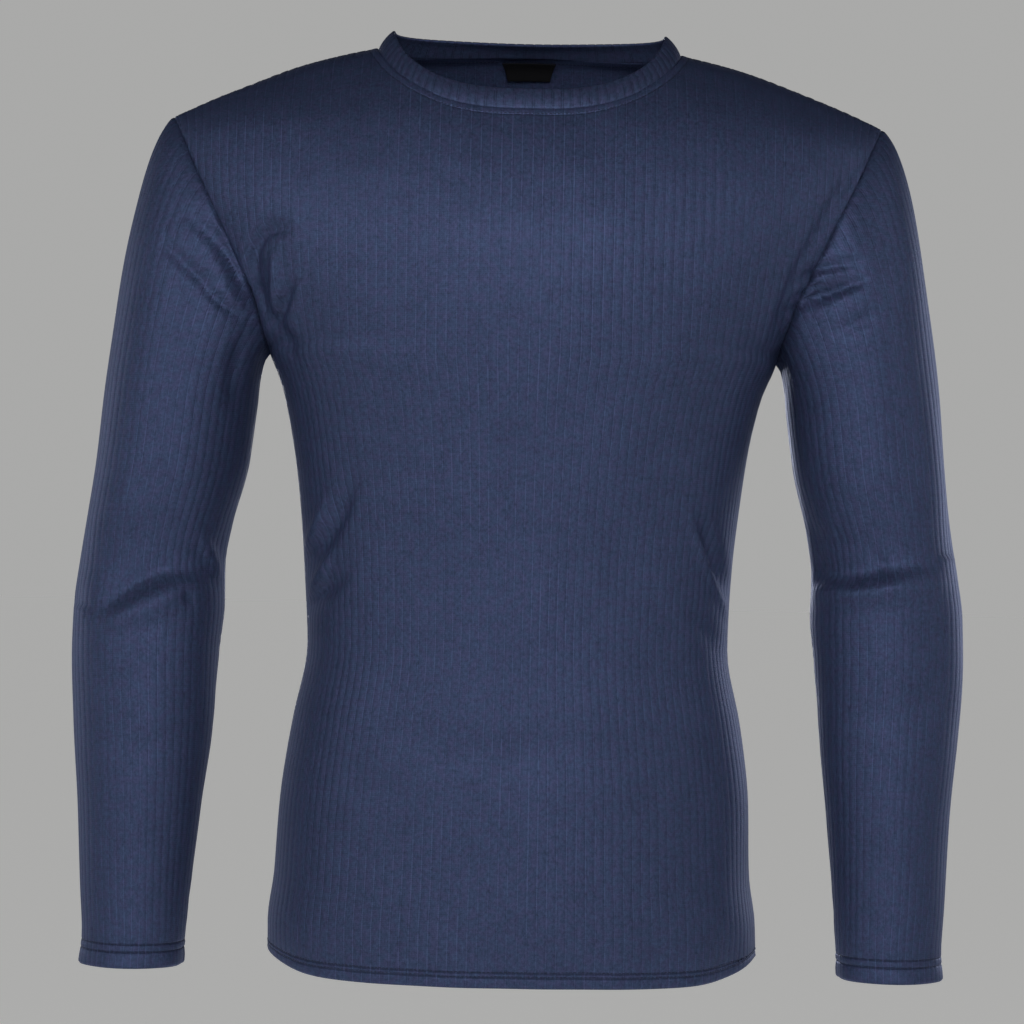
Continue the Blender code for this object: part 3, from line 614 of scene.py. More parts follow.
def neck_inward(points):
    """The level way from the neck seam in towards the neck, square to the seam seen from above."""
    reach = np.where(points[:, 1] < 0, NECK_FRONT, NECK_BACK)
    x, y = points[:, 0] / NECK_HALF_WIDTH, points[:, 1] / reach
    steepness = NECK_SQUARENESS - 1
    out_x = np.sign(x) * np.abs(x) ** steepness / NECK_HALF_WIDTH
    out_y = np.sign(y) * np.abs(y) ** steepness / reach
    return -unit(np.stack((out_x, out_y, np.zeros(len(x))), axis=-1))


def band_point(rib, run):
    """The neckband's outer surface; a rib counts round from the front's middle, and run goes 0 to 1."""
    seam = along_line(NECK_RING, rib / BAND_RIBS % 1.0)
    facing = np.arctan2(seam[:, 0] / NECK_HALF_WIDTH, -seam[:, 1] / NECK_FRONT)
    frontness = np.cos(facing)
    share_front = np.clip(frontness, 0, 1) ** 2
    share_back = np.clip(-frontness, 0, 1) ** 2
    lean, rise = (
        size[0] * share_front + size[1] * (1 - share_front - share_back) + size[2] * share_back
        for size in (BAND_LEAN, BAND_RISE)
    )
    inward = neck_inward(seam)
    slope = inward * lean[:, None] + np.array((0.0, 0.0, 1.0)) * rise[:, None]
    outward = unit(np.stack((-inward[:, 0] * rise, -inward[:, 1] * rise, lean), axis=-1))
    start = seam - unit(slope) * BAND_SINK * np.clip(1 - 10 * run, 0, 1)[:, None]
    bow = BAND_BOW * (4 * run * (1 - run))[:, None]
    return start + slope * run[:, None] + outward * bow


# ---------------------------------------------------------------- creases and relief


def smooth_line(corners, count=14):
    """A few corners joined by a smooth line."""
    corners = np.array(corners, float)
    covered = covered_along(corners)
    at = np.linspace(0, covered[-1], count)
    if len(corners) < 3:
        return np.stack([np.interp(at, covered, corners[:, i]) for i in range(2)], axis=-1)
    return np.stack([through(covered, corners[:, i], at) for i in range(2)], axis=-1)


def line_distance(points, line):
    """Each point's distance from a line seen from the front, how far along it (0 to 1) it is, and
    whether it lies above it."""
    flat = points[:, [0, 2]]
    steps = length(np.diff(line, axis=0))
    covered = covered_along(line)
    nearest = np.full(len(points), np.inf)
    along = np.zeros(len(points))
    above = np.zeros(len(points), bool)
    for i, step in enumerate(steps):
        way = (line[i + 1] - line[i]) / step
        t = np.clip((flat - line[i]) @ way, 0, step)
        offset = flat - line[i] - t[:, None] * way
        distance = length(offset)
        closer = distance < nearest
        nearest = np.where(closer, distance, nearest)
        along = np.where(closer, (covered[i] + t) / covered[-1], along)
        above = np.where(closer, offset[:, 1] > 0, above)
    return nearest, along, above


def fold_depth(points, normals):
    """How far the folds and creases press the cloth in at each point."""
    depth = np.zeros(len(points))
    folds = table(FOLD_COLUMNS, FOLDS + CREASES)
    for name, half, corners, deep, half_width in zip(*(folds[column] for column in FOLD_COLUMNS)):
        crease = name in CREASE_NAMES
        widest = half_width * WIDER_ABOVE.get(name, 1.0)
        line = smooth_line(corners)
        near = (points[:, [0, 2]] > line.min(axis=0) - widest).all(axis=1)
        near &= (points[:, [0, 2]] < line.max(axis=0) + widest).all(axis=1)
        if not near.any():
            continue
        facing = -normals[near, 1] if half == "front" else normals[near, 1]
        distance, along, above = line_distance(points[near], line)
        away = np.clip(distance / np.where(above, widest, half_width), 0, 1)
        across = (1 - away**2) ** 2
        if crease:
            across = (1 - away) ** 2 * (1 + 1.2 * away)
            deep = deep * CREASE_DEPTH
        ends = np.sin(math.pi * np.clip(along * 0.8 + 0.1, 0, 1))
        depth[near] += deep * across * ends * ease(facing, 0.02, 0.35)
    return depth


ARMHOLE_MIDDLE = np.array((0.0, 2.0, -140.0))


def pressed_ways(points, normals, armhole):
    """The way folds press the cloth out or in: its normal, and beside an armhole the way straight out
    from the armhole's middle, which the panel and the sleeve share, so that the seam stays shut."""
    out = points - ARMHOLE_MIDDLE
    out[:, 0] = 0
    share = (1 - ease(armhole, 3.0, 20.0))[:, None]
    return unit(normals * (1 - share) + unit(out) * share)


def swell(points):
    """The slow unevenness of worn cloth."""
    swells = table(SWELL_COLUMNS, SWELLS)
    height = np.zeros(len(points))
    for across, up, phase, rise in zip(*(swells[name] for name in SWELL_COLUMNS)):
        way = points[:, 0] / across + points[:, 2] / up + points[:, 1] / (across * 1.3)
        height += rise * np.sin(2 * math.pi * way + phase)
    return height


def rib_rise(rib):
    """A flat-topped rib: its crest is on each whole number and a narrow groove halfway between."""
    from_groove = np.abs(rib - np.floor(rib) - 0.5)
    return RIB_RISE * ease(from_groove, 0.03, 0.15)


FAR = 999.0
SEAM_REACH = 24.0


def far(points):
    """A distance from what is nowhere near, for each point."""
    return np.full(len(points), FAR)


def ring_finder(ring):
    """Distances from a line of points, and how far along it the nearest place is."""
    covered = covered_along(ring)
    count = int(covered[-1])
    dense = along_line(ring, np.linspace(0, 1, count + 1))
    tree = KDTree(len(dense))
    for i, p in enumerate(dense):
        tree.insert(p, i)
    tree.balance()

    low, high = ring.min(axis=0) - SEAM_REACH, ring.max(axis=0) + SEAM_REACH

    def find(points):
        distance, along = far(points), np.zeros(len(points))
        near = np.flatnonzero(((points > low) & (points < high)).all(axis=1))
        for i in near:
            _, along[i], distance[i] = tree.find(points[i])
        return distance, along

    return find


NECK_FINDER = ring_finder(NECK_RING)
ARMHOLE_FINDERS = {
    side: ring_finder(
        np.concatenate((ARMHOLE["front"], ARMHOLE["back"][::-1])) * (1.0 if side > 0 else MIRROR)
    )
    for side in (1, -1)
}


def pucker(distance, along, height=0.2, reach=5.5, pitch=8.5):
    """Small uneven gathers beside a sewn edge."""
    wobble = 1.4 * np.sin(along / 23.0) + 0.8 * np.sin(along / 9.7 + 2.0)
    strength = 0.55 + 0.45 * np.sin(along / 31.0 + 1.0)
    return height * strength * np.sin(2 * math.pi * along / pitch + wobble) * bell(distance - 2.0, reach)


def seam_relief(distance, along):
    """A sewn edge: the cloth turns in at the seam and gathers a little beside it."""
    return pucker(distance, along) - SEAM_ROLL * bell(distance, 1.2)


def row_distance(height, rows):
    """The distance from the nearest of the rows of stitches."""
    return np.min([np.abs(height - row) for row in rows], axis=0)


def rib_share(height, rows):
    """How much of the ribs' height is left on a doubled hem or cuff, where sewing presses them flat."""
    return PRESSED_RIBS + (1 - PRESSED_RIBS) * ease(height, rows[-1], rows[-1] + BAND_FADE)


def fold_edge_relief(height, rows):
    """A turned-up hem or cuff: a doubled band, a rounded edge and a groove at each row of stitches."""
    relief = DOUBLED * ease(height, 0.0, 2.0) * (1 - ease(height, rows[-1], rows[-1] + BAND_FADE))
    for row in rows:
        relief = relief - GROOVE_DEPTH * bell(height - row, GROOVE_HALF)
    return relief - EDGE_ROLL * bell(height, 0.7)


# ---------------------------------------------------------------- cloth walls


class Piece:
    """One cut piece of cloth: where its pattern lies, its limits, and what is worked into its surface."""

    def __init__(self, name, point, half_ribs, top, edges, relief, **facts):
        self.name, self.point, self.half_ribs, self.top = name, point, half_ribs, top
        self.edges, self.relief = edges, relief
        self.bottom, self.wall, self.lift = 0.0, WALL, 0.0
        self.side, self.face_out = 1, 1
        self.closed, self.round, self.folds = False, False, True
        self.ridge, self.follow = None, ()
        for fact, value in facts.items():
            setattr(self, fact, value)
        self.follow = np.array(self.follow)

    def normals(self, rib, run, limit, highest):
        step_rib, step_run = 0.05, (highest.max() - self.bottom) * 0.002
        across = self.point(np.minimum(rib + step_rib, limit), run) - self.point(
            np.maximum(rib - step_rib, -limit), run
        )
        along = self.point(rib, np.minimum(run + step_run, highest)) - self.point(
            rib, np.maximum(run - step_run, self.bottom)
        )
        found = unit(np.cross(across, along)) * self.side * self.face_out
        if self.ridge is not None:
            at_ridge = run >= self.ridge
            found[at_ridge, 1] = 0
            found = unit(found)
        return found


def top_of(piece, rib):
    different, place = np.unique(rib, return_inverse=True)
    return piece.top(different)[place]


def pattern_grid(piece, ribs, runs):
    """The piece's grid: columns past its edge slide onto the edge and rows past its top onto the top.

    The piece's last rows follow its top edge at their own distances below it."""
    follow = len(piece.follow)
    columns, rows = len(ribs), len(runs) + follow
    column = np.repeat(ribs[:, None], rows, axis=1).ravel()
    run = np.repeat(np.concatenate((runs, np.zeros(follow)))[None, :], columns, axis=0)
    if follow:
        tops = top_of(piece, ribs)[:, None]
        run[:, -follow:] = tops - piece.follow
        run[:, :-follow] = np.minimum(run[:, :-follow], tops - piece.follow[0])
    run = run.ravel()
    limit = piece.half_ribs(run)
    cut_side = np.abs(column) >= limit
    rib = np.clip(column, -limit, limit)
    if piece.closed:
        rib = np.where(cut_side, -limit, rib)
    highest = top_of(piece, rib)
    run = np.minimum(run, highest)
    keys = np.round(np.stack((rib, run), axis=-1), 5)
    _, first, number = np.unique(keys, axis=0, return_index=True, return_inverse=True)
    return rib[first], run[first], limit[first], highest[first], number.reshape(columns, rows)


def grid_faces(number, wraps):
    """The grid's faces as lists of point numbers, without the corners that fell together."""
    columns, rows = number.shape
    faces = []
    numbers = number.tolist()
    for k in range(columns if wraps else columns - 1):
        here, beside = numbers[k], numbers[(k + 1) % columns]
        for j in range(rows - 1):
            corners = (here[j], beside[j], beside[j + 1], here[j + 1])
            loop = [c for i, c in enumerate(corners) if c != corners[i - 1]]
            if len(set(loop)) > 2:
                faces.append(loop)
    return faces


def boundary_edges(faces):
    """The directed edges that only one face has."""
    directed = {(a, b) for loop in faces for a, b in zip(loop, loop[1:] + loop[:1])}
    return [(a, b) for a, b in directed if (b, a) not in directed]


def cloth_wall(piece, ribs, runs, material):
    """A closed wall of cloth over a grid of the piece's pattern."""
    rib, run, limit, highest, number = pattern_grid(piece, ribs, runs)
    base = piece.point(rib, run)
    normals = piece.normals(rib, run, limit, highest)
    edges = piece.edges(base, rib, run, limit, highest)
    outer_relief, inner_relief = piece.relief(base, rib, run, edges)
    if piece.folds:
        ways = pressed_ways(base, normals, edges["armhole"])
        base = base + ways * (swell(base) - fold_depth(base, ways))[:, None]
    outer = base + normals * (outer_relief + piece.lift)[:, None]
    inner = base + normals * (inner_relief + piece.lift - piece.wall)[:, None]

    faces = grid_faces(number, piece.round)
    if piece.side * piece.face_out < 0:
        faces = [loop[::-1] for loop in faces]
    count = len(rib)
    inside = [[c + count for c in reversed(loop)] for loop in faces]
    rims = [(b, a, a + count, b + count) for a, b in boundary_edges(faces)]
    data = bpy.data.meshes.new(piece.name)
    data.from_pydata(np.concatenate((outer, inner)) * MM, [], faces + inside + rims)
    pattern = np.zeros((2 * count, 3), np.float32)
    pattern[:, 0], pattern[:, 1] = np.tile(rib, 2), np.tile(run, 2)
    pattern[count:, 2] = 1
    both = np.tile(np.stack((edges["neck"], edges["sewn"], edges["row"]), axis=-1), (2, 1))
    for name, values in (("pattern", pattern), ("edges", both.astype(np.float32))):
        data.attributes.new(name, "FLOAT_VECTOR", "POINT").data.foreach_set("vector", values.ravel())
    data.materials.append(material)
    data.shade_smooth()
    return add_object(piece.name, data)


def add_object(name, data):
    made = bpy.data.objects.new(name, data)
    bpy.context.scene.collection.objects.link(made)
    return made


COLUMN_PLACES = (-0.35, 0.0, 0.35, 0.47, 0.53)  # within a rib: its flat top and the groove's two sides


def rib_columns(count, closed_ring=False):
    whole = np.arange(0 if closed_ring else -count, count)
    columns = (whole[:, None] + np.array(COLUMN_PLACES)[None, :]).ravel()
    if closed_ring:
        return columns
    return np.unique(np.concatenate((columns, [-count, count - 0.35, float(count)])))


def spaced_rows(*stretches):
    """Rows between the named heights, each stretch (from, to, spacing) as even as it goes."""
    rows = [stretches[0][0]]
    for low, high, spacing in stretches:
        rows.extend(np.linspace(low, high, max(1, round((high - low) / spacing)) + 1)[1:])
    return np.array(rows)


def hem_heights(rows):
    """Rows of points that follow a hem's rounded edge and its grooves."""
    heights = [0.0, 0.5, 1.2, 2.2]
    for row in rows:
        heights.extend(row + offset for offset in (-1.3, -0.7, 0.0, 0.7, 1.3))
    middle = (heights[3] + heights[4]) / 2
    return sorted(heights + [middle])


# ---------------------------------------------------------------- materials

NAVY = (0.030, 0.039, 0.082)
NECK_NAVY = (0.029, 0.037, 0.077)
LABEL_BLACK = (0.004, 0.004, 0.005)
THREAD_NAVY = (0.012, 0.016, 0.036)
PALE = (0.80, 0.80, 0.79)
WORLD_LIGHT = 0.40
CEILING_LOW, CEILING_HIGH = 0.15, 0.45  # the sine of the heights between which the light falls away
FLOOR_GLOW = 0.922  # what brings the floor to the brightness of the surroundings


class Nodes:
    """Short calls for a material's nodes."""

    def __init__(self, material):
        self.tree = material.node_tree

    def new(self, kind, inputs=None, **settings):
        node = self.tree.nodes.new(kind)
        for name, value in settings.items():
            setattr(node, name, value)
        for name, value in (inputs or {}).items():
            self.give(node.inputs[name], value)
        return node

    def give(self, socket, value):
        if isinstance(value, bpy.types.NodeSocket):
            self.tree.links.new(value, socket)
        else:
            socket.default_value = value

    def math(self, operation, a, b=None, c=None):
        given = {i: v for i, v in enumerate((a, b, c)) if v is not None}
        return self.new("ShaderNodeMath", given, operation=operation).outputs[0]

    def times(self, a, b):
        return self.math("MULTIPLY", a, b)

    def plus(self, a, b):
        return self.math("ADD", a, b)

    def band(self, value, centre, half_width):
        """1 where value is at centre, easing to 0 at half_width from it."""
        away = self.math("ABSOLUTE", self.math("SUBTRACT", value, centre))
        return self.eased(away, half_width, 0.0)

    def eased(self, value, low, high):
        """0 at low and 1 at high, eased between; low may be above high."""
        inputs = {"Value": value, "From Min": low, "From Max": high}
        node = self.new("ShaderNodeMapRange", inputs, interpolation_type="SMOOTHSTEP")
        return node.outputs["Result"]

    def noise(self, vector, scale, detail=2.0, roughness=0.5):
        inputs = {"Vector": vector, "Scale": scale, "Detail": detail, "Roughness": roughness}
        return self.new("ShaderNodeTexNoise", inputs).outputs["Fac"]

    def vector(self, x, y, z):
        return self.new("ShaderNodeCombineXYZ", {"X": x, "Y": y, "Z": z}).outputs[0]

    def mix(self, share, a, b):
        node = self.new("ShaderNodeMix", data_type="RGBA")
        for name, value in (("Factor", share), ("A", a), ("B", b)):
            self.give(next(s for s in node.inputs if s.name == name and s.enabled), value)
        return next(s for s in node.outputs if s.enabled)

    def multiply(self, a, b):
        return self.new("ShaderNodeVectorMath", {0: a, 1: b}, operation="MULTIPLY").outputs[0]

    def parts(self, vector):
        return self.new("ShaderNodeSeparateXYZ", {0: vector}).outputs

    def attribute(self, name):
        """The three numbers that a piece's points carry under that name."""
        return self.parts(self.new("ShaderNodeAttribute", attribute_name=name).outputs["Vector"])

    def total(self, start, *parts):
        """The start with each value in parts added to it, times its weight."""
        for value, weight in parts:
            start = self.plus(start, self.times(value, weight))
        return start

    def dress(self, shader, colour, relief, strength, depth):
        """Gives a shader its colour and its bump."""
        self.give(shader.inputs["Base Color"], colour)
        bump = self.new("ShaderNodeBump", {"Strength": strength, "Distance": depth, "Height": relief})
        self.give(shader.inputs["Normal"], bump.outputs[0])


def scaled(colour, factor):
    return tuple(c * factor for c in colour) + (1.0,)


def plain_material(name, colour, roughness):
    material = bpy.data.materials.new(name)
    material.use_nodes = True
    shader = material.node_tree.nodes["Principled BSDF"]
    shader.inputs["Base Color"].default_value = scaled(colour, 1.0)
    shader.inputs["Roughness"].default_value = roughness
    return material, shader


COURSE = 1.35  # one row of knit stitches
METAL_SHARE = 0.35  # the share of smooth yarn, whose shine keeps the yarn's colour
RIB_MM = 6.8


def knit_material(name, colour, run_scale=1.0, painted_highlight_strength=1.0, painted_groove_shade_strength=1.0):
    """Heathered rib knit with painted light at each rib's groove: a pale dotted line of painted highlight
    and a thin dark one of painted shade beside it, over stitches that show as fine relief."""
    material, shader = plain_material(name, colour, 0.8)
    n = Nodes(material)
    rib, raw_run, inside = n.attribute("pattern")
    neck, sewn, row = n.attribute("edges")
    run = n.times(raw_run, run_scale)

    phase = n.math("FRACT", rib)
    number = n.math("FLOOR", rib)
    across = n.times(rib, RIB_MM)
    place = n.vector(across, run, n.times(inside, 40.0))

    # Painted highlight: a pale dotted line down the middle of each groove, where light catches the ladder,
    # broken up by streaks, dots and patches.
    streaks = n.noise(n.vector(n.times(number, 17.3), n.times(run, 0.11), 0.0), 1.0, 4.0, 0.7)
    dots = n.math("SINE", n.times(run, 2 * math.pi / COURSE))
    dotted = n.plus(n.times(dots, 0.22), 0.78)
    pale = n.times(n.band(phase, 0.5, 0.11), n.eased(streaks, 0.36, 0.56))
    pale = n.times(pale, dotted)
    pale = n.times(pale, n.plus(n.times(n.eased(n.noise(place, 0.011, 1.0), 0.42, 0.62), 0.75), 0.5))
    # Painted shade: a thin darker line on each side of the groove, where the pale line is missing.
    beside = n.plus(n.band(phase, 0.39, 0.08), n.band(phase, 0.61, 0.08))
    dark = n.times(beside, n.eased(streaks, 0.66, 0.36))

    fine = n.noise(n.vector(n.times(across, 1.25), n.times(run, 0.75), inside), 1.0, 3.0, 0.7)
    grain = n.noise(n.vector(n.times(across, 0.44), n.times(run, 0.36), n.times(inside, 9.0)), 1.0, 2.5, 0.75)
    patches = n.noise(place, 0.05, 2.0)

    # Painted shade: darker colour along the sewn edges, the hem and cuff stitch rows and the neck's
    # topstitching, where their grooves lie in shade. The same masks also give these grooves their bump.
    seam_painted_shade_and_groove = n.eased(sewn, 1.0, 0.0)
    row_painted_shade_and_groove = n.eased(row, 1.1, 0.2)
    strip = n.eased(neck, NECK_ROW, NECK_ROW - 1.5)
    tone = n.total(
        0.5,
        (n.math("SUBTRACT", fine, 0.5), 0.9),
        (n.math("SUBTRACT", grain, 0.5), 1.6),
        (n.math("SUBTRACT", patches, 0.5), 0.3),
        (pale, 0.74 * painted_highlight_strength),
        (dark, -0.25 * painted_groove_shade_strength),
        (seam_painted_shade_and_groove, -0.40),
        (row_painted_shade_and_groove, -0.50),
        (n.band(neck, NECK_ROW, 0.9), -0.30),
        (strip, 0.16),
    )
    tone = n.math("MINIMUM", n.math("MAXIMUM", tone, 0.0), 1.0)

    cloth = n.mix(tone, scaled(colour, 0.50), scaled(colour, 1.50))
    hue = n.noise(place, 0.16, 2.0)
    warm = n.mix(n.eased(hue, 0.40, 0.62), (0.92, 1.04, 1.0, 1.0), (1.08, 0.97, 1.0, 1.0))
    # Painted light: the inner faces are painted slightly lighter and bluer than the outer ones.
    inside_painted_light = n.mix(inside, (1.0, 1.0, 1.0, 1.0), (1.0, 1.02, 1.06, 1.0))
    n.give(shader.inputs["Roughness"], n.plus(n.times(fine, 0.12), 0.44))

    wales = n.math("SINE", n.times(across, 2 * math.pi / 1.13))
    stitches = n.times(n.plus(n.times(dots, 0.5), 0.5), n.plus(n.times(wales, 0.5), 0.5))
    neck_groove = n.band(neck, NECK_ROW, 1.2)
    weights = (stitches, 0.45), (fine, 0.5), (pale, 0.35), (dark, -0.45)
    relief = n.total(0.0, *weights, (neck_groove, -1.2), (seam_painted_shade_and_groove, -1.2), (row_painted_shade_and_groove, -1.0))
    n.dress(shader, n.multiply(n.multiply(cloth, warm), inside_painted_light), relief, 0.55, 0.00035)

    shader.inputs["Metallic"].default_value = METAL_SHARE
    shader.inputs["Specular IOR Level"].default_value = 0.45
    shader.inputs["Specular Tint"].default_value = (0.38, 0.50, 1.0, 1.0)
    return material


def thread_material():
    """Twisted thread: fine slanting ply along each stitch."""
    material, shader = plain_material("sewing_thread", THREAD_NAVY, 0.8)
    shader.inputs["Specular IOR Level"].default_value = 0.2
    n = Nodes(material)
    x, y, z = n.parts(n.new("ShaderNodeTexCoord").outputs["Object"])
    ply = n.math("SINE", n.times(n.plus(n.plus(x, y), z), 9000.0))
    tone = n.plus(n.times(ply, 0.3), 0.5)
    n.dress(shader, n.mix(tone, scaled(THREAD_NAVY, 0.7), scaled(THREAD_NAVY, 1.5)), ply, 0.5, 0.0001)
    return material


def label_material():
    """Plain black satin tape: fine crosswise ribs with a low gloss."""
    material, shader = plain_material("label_black", LABEL_BLACK, 0.6)
    shader.inputs["Specular IOR Level"].default_value = 0.12
    n = Nodes(material)
    rib, run, _ = n.attribute("pattern")
    weft = n.math("SINE", n.times(run, 2 * math.pi / 0.42))
    warp = n.math("SINE", n.times(n.times(rib, RIB_MM), 2 * math.pi / 0.55))
    weave = n.plus(n.times(weft, 0.6), n.times(n.times(weft, warp), 0.4))
    wear = n.noise(n.vector(n.times(rib, RIB_MM), run, 0.0), 0.6, 2.0)
    tone = n.plus(n.times(weave, 0.15), wear)
    n.dress(shader, n.mix(tone, scaled(LABEL_BLACK, 0.6), scaled(LABEL_BLACK, 1.8)), weave, 0.35, 0.0001)
    return material


# ---------------------------------------------------------------- the pieces


def finish_piece(made, node):
    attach(made, BODY)
    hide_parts(node)
    return made


def panel_edges(base, rib, run, limit, highest):
    neck, _ = NECK_FINDER(base)
    sewn = (limit - np.abs(rib)) * CHEST_PITCH
    along = run.copy()
    armhole = far(rib)
    upper = run > ARMPIT_RUN - 30
    for side in (1, -1):
        near = upper & (base[:, 0] * side > 0)
        distance, place = ARMHOLE_FINDERS[side](base[near])
        armhole[near] = distance
        closer = (distance < sewn[near]) | (run[near] > ARMPIT_RUN)
        sewn[near] = np.where(closer, distance, sewn[near])
        along[near] = np.where(closer, place, along[near])
    shoulder = np.where(np.abs(base[:, 0]) > NECK_HALF_WIDTH * 0.8, RIDGE_RUN - run, FAR)
    nearer = shoulder < sewn
    along = np.where(nearer, np.abs(base[:, 0]), along)
    sewn = np.minimum(sewn, shoulder)
    return {
        "neck": neck, "sewn": sewn, "along": along, "hem": run, "armhole": armhole,
        "row": row_distance(run, HEM_ROWS),
    }


def panel_relief(base, rib, run, edges):
    at_seam = ease(edges["sewn"], 0.0, 1.5) * ease(edges["neck"], NECK_ROW - 1.4, NECK_ROW + 1.0)
    ribs = rib_rise(rib) * rib_share(edges["hem"], HEM_ROWS) * at_seam
    hem = fold_edge_relief(edges["hem"], HEM_ROWS)
    seams = seam_relief(edges["sewn"], edges["along"])
    strip = ease(edges["neck"], -0.2, 1.4) * (1 - ease(edges["neck"], NECK_ROW - 1.2, NECK_ROW + 1.8))
    neck = 0.55 * strip - SEAM_ROLL * bell(edges["neck"], 1.0)
    neck = neck - 0.3 * bell(edges["neck"] - NECK_ROW, 0.9)
    tuck = HEM_TUCK * np.clip(1 - run / HEM_TUCK_REACH, 0, 1) ** 2
    tuck = tuck * (1 - (rib / PANEL_HALF_RIBS) ** 4)
    wave = 0.8 * np.sin(rib * 0.55 + 0.9) * np.sin(rib * 0.21) * bell(run, 26.0)
    outer = ribs + hem + seams + neck + wave - tuck
    allowance = 0.7 * ease(edges["neck"], -0.5, 0.8) * (1 - ease(edges["neck"], NECK_ROW, NECK_ROW + 2.0))
    inner = EDGE_ROLL * bell(edges["hem"], 0.7) - allowance + wave - tuck
    return outer, inner


def build_panel(half, material):
    piece = Piece(
        half + "_cloth",
        panel_point(half),
        panel_half_ribs(half),
        panel_top(half, NECK_LAP),
        face_out=1 if half == "front" else -1,
        ridge=RIDGE_RUN - 0.1,
        edges=panel_edges,
        relief=panel_relief,
        follow=(9.0, 7.6, 6.8, 6.0, 5.0, 3.6, 2.2, 1.4, 0.8, 0.0),
    )
    low = hem_heights(HEM_ROWS)
    rows = spaced_rows(
        (low[-1], 246.0, 9.5),
        (246.0, 356.0, 4.6),
        (356.0, ARMPIT_RUN - 14, 9.0),
        (ARMPIT_RUN - 14, ARMPIT_RUN + 96, 3.6),
        (ARMPIT_RUN + 96, RIDGE_RUN, 5.8),
    )
    runs = np.concatenate((low[:-1], rows))
    widest = math.ceil(piece.half_ribs(runs).max())
    made = cloth_wall(piece, rib_columns(widest), runs, material)
    return finish_piece(made, half)


def sleeve_edges(side):
    def edges(base, rib, run, limit, highest):
        sewn = (limit - np.abs(rib)) * RIB_MM
        along = run.copy()
        upper = run > -20
        distance, place = ARMHOLE_FINDERS[side](base[upper])
        armhole = far(rib)
        armhole[upper] = distance
        closer = distance < sewn[upper]
        sewn[upper] = np.minimum(distance, sewn[upper])
        along[upper] = np.where(closer, place, along[upper])
        height = run - SLEEVE_BOTTOM
        return {
            "neck": far(rib), "sewn": sewn, "along": along, "hem": height, "armhole": armhole,
            "row": row_distance(height, CUFF_ROWS), "past": run - (highest - SLEEVE_LAP),
        }

    return edges


def sleeve_relief(base, rib, run, edges):
    at_seam = ease(edges["sewn"], 0.0, 1.5) * (1 - ease(edges["past"], -1.2, 0.0))
    ribs = rib_rise(rib) * rib_share(edges["hem"], CUFF_ROWS) * at_seam
    cuff = fold_edge_relief(edges["hem"], CUFF_ROWS)
    seams = seam_relief(edges["sewn"], edges["along"])
    flare = 1.3 * bell(edges["hem"], 9.0)
    under = SLEEVE_LAP_DEPTH * ease(edges["past"], -2.5, 0.5)
    wave = 1.0 * np.sin(rib * 0.62 + 0.4) * np.sin(rib * 0.19 + 1.0) * bell(edges["hem"], 16.0)
    inner = EDGE_ROLL * bell(edges["hem"], 0.7) + wave + flare - under
    return ribs + cuff + seams + wave + flare - under, inner


def build_sleeve(name, side, material):
    highest = sleeve_top(np.zeros(1))[0]
    lowest = sleeve_top(np.array([SLEEVE_TOP_HALF_RIBS]))[0]
    piece = Piece(
        name + "_cloth",
        sleeve_point(side),
        sleeve_half_ribs,
        sleeve_top,
        bottom=SLEEVE_BOTTOM,
        side=side,
        face_out=-1,
        closed=True,
        edges=sleeve_edges(side),
        relief=sleeve_relief,
        follow=(8.0, 5.4, 3.6, 2.6, 1.6, 0.0),
    )
    low = [SLEEVE_BOTTOM + height for height in hem_heights(CUFF_ROWS)]
    elbow = SLEEVE["z"][SLEEVE["section"].index("elbow")] - SLEEVE_TOP
    rows = spaced_rows(
        (low[-1], elbow - 60, 7.0),
        (elbow - 60, elbow + 45, 3.8),
        (elbow + 45, lowest, 6.5),
        (lowest, lowest + 70, 3.2),
        (lowest + 70, highest, 4.4),
    )
    runs = np.concatenate((low[:-1], rows))
    made = cloth_wall(piece, rib_columns(int(SLEEVE_TOP_HALF_RIBS)), runs, material)
    return finish_piece(made, name)


def band_edges(base, rib, run, limit, highest):
    return {"neck": far(rib), "sewn": run * BAND_HEIGHT, "along": rib * BAND_RIB_PITCH, "row": far(rib)}


def band_relief(base, rib, run, edges):
    from_top = (1 - run) * BAND_HEIGHT
    ribs = (1.5 * rib_rise(rib) - 0.1) * ease(edges["sewn"], 0.3, 1.6) * ease(from_top, -0.2, 0.9)
    edge = -0.25 * bell(edges["sewn"], 1.0)
    rounding = BAND_WALL / 2 * (1 - np.sqrt(1 - np.clip(1 - from_top / 1.3, 0, 0.999) ** 2))
    return ribs + edge - rounding, rounding


def build_neckband(material):
    piece = Piece(
        "neckband_cloth",
        band_point,
        lambda run: np.full(len(run), np.inf),
        lambda rib: np.ones(len(rib)),
        wall=BAND_WALL,
        round=True,
        edges=band_edges,
        relief=band_relief,
        folds=False,
    )
    up = np.array((0.0, 0.04, 0.1, 0.2, 0.35, 0.5, 0.65, 0.8, 0.9, 0.94, 0.965, 0.985, 1.0))
    made = cloth_wall(piece, rib_columns(BAND_RIBS, closed_ring=True), up, material)
    return finish_piece(made, "neckband")


def label_runs():
    """Where the label starts and ends, by its distances down the back from the neck seam."""
    seam = panel_top("back")(np.zeros(1))[0]
    runs = np.linspace(seam, ARMPIT_RUN, LEVEL_SAMPLES)
    covered = covered_along(panel_point("back")(np.zeros(len(runs)), runs))
    return np.interp((LABEL_BELOW_SEAM, LABEL_BELOW_SEAM + LABEL_DROP), covered, runs)


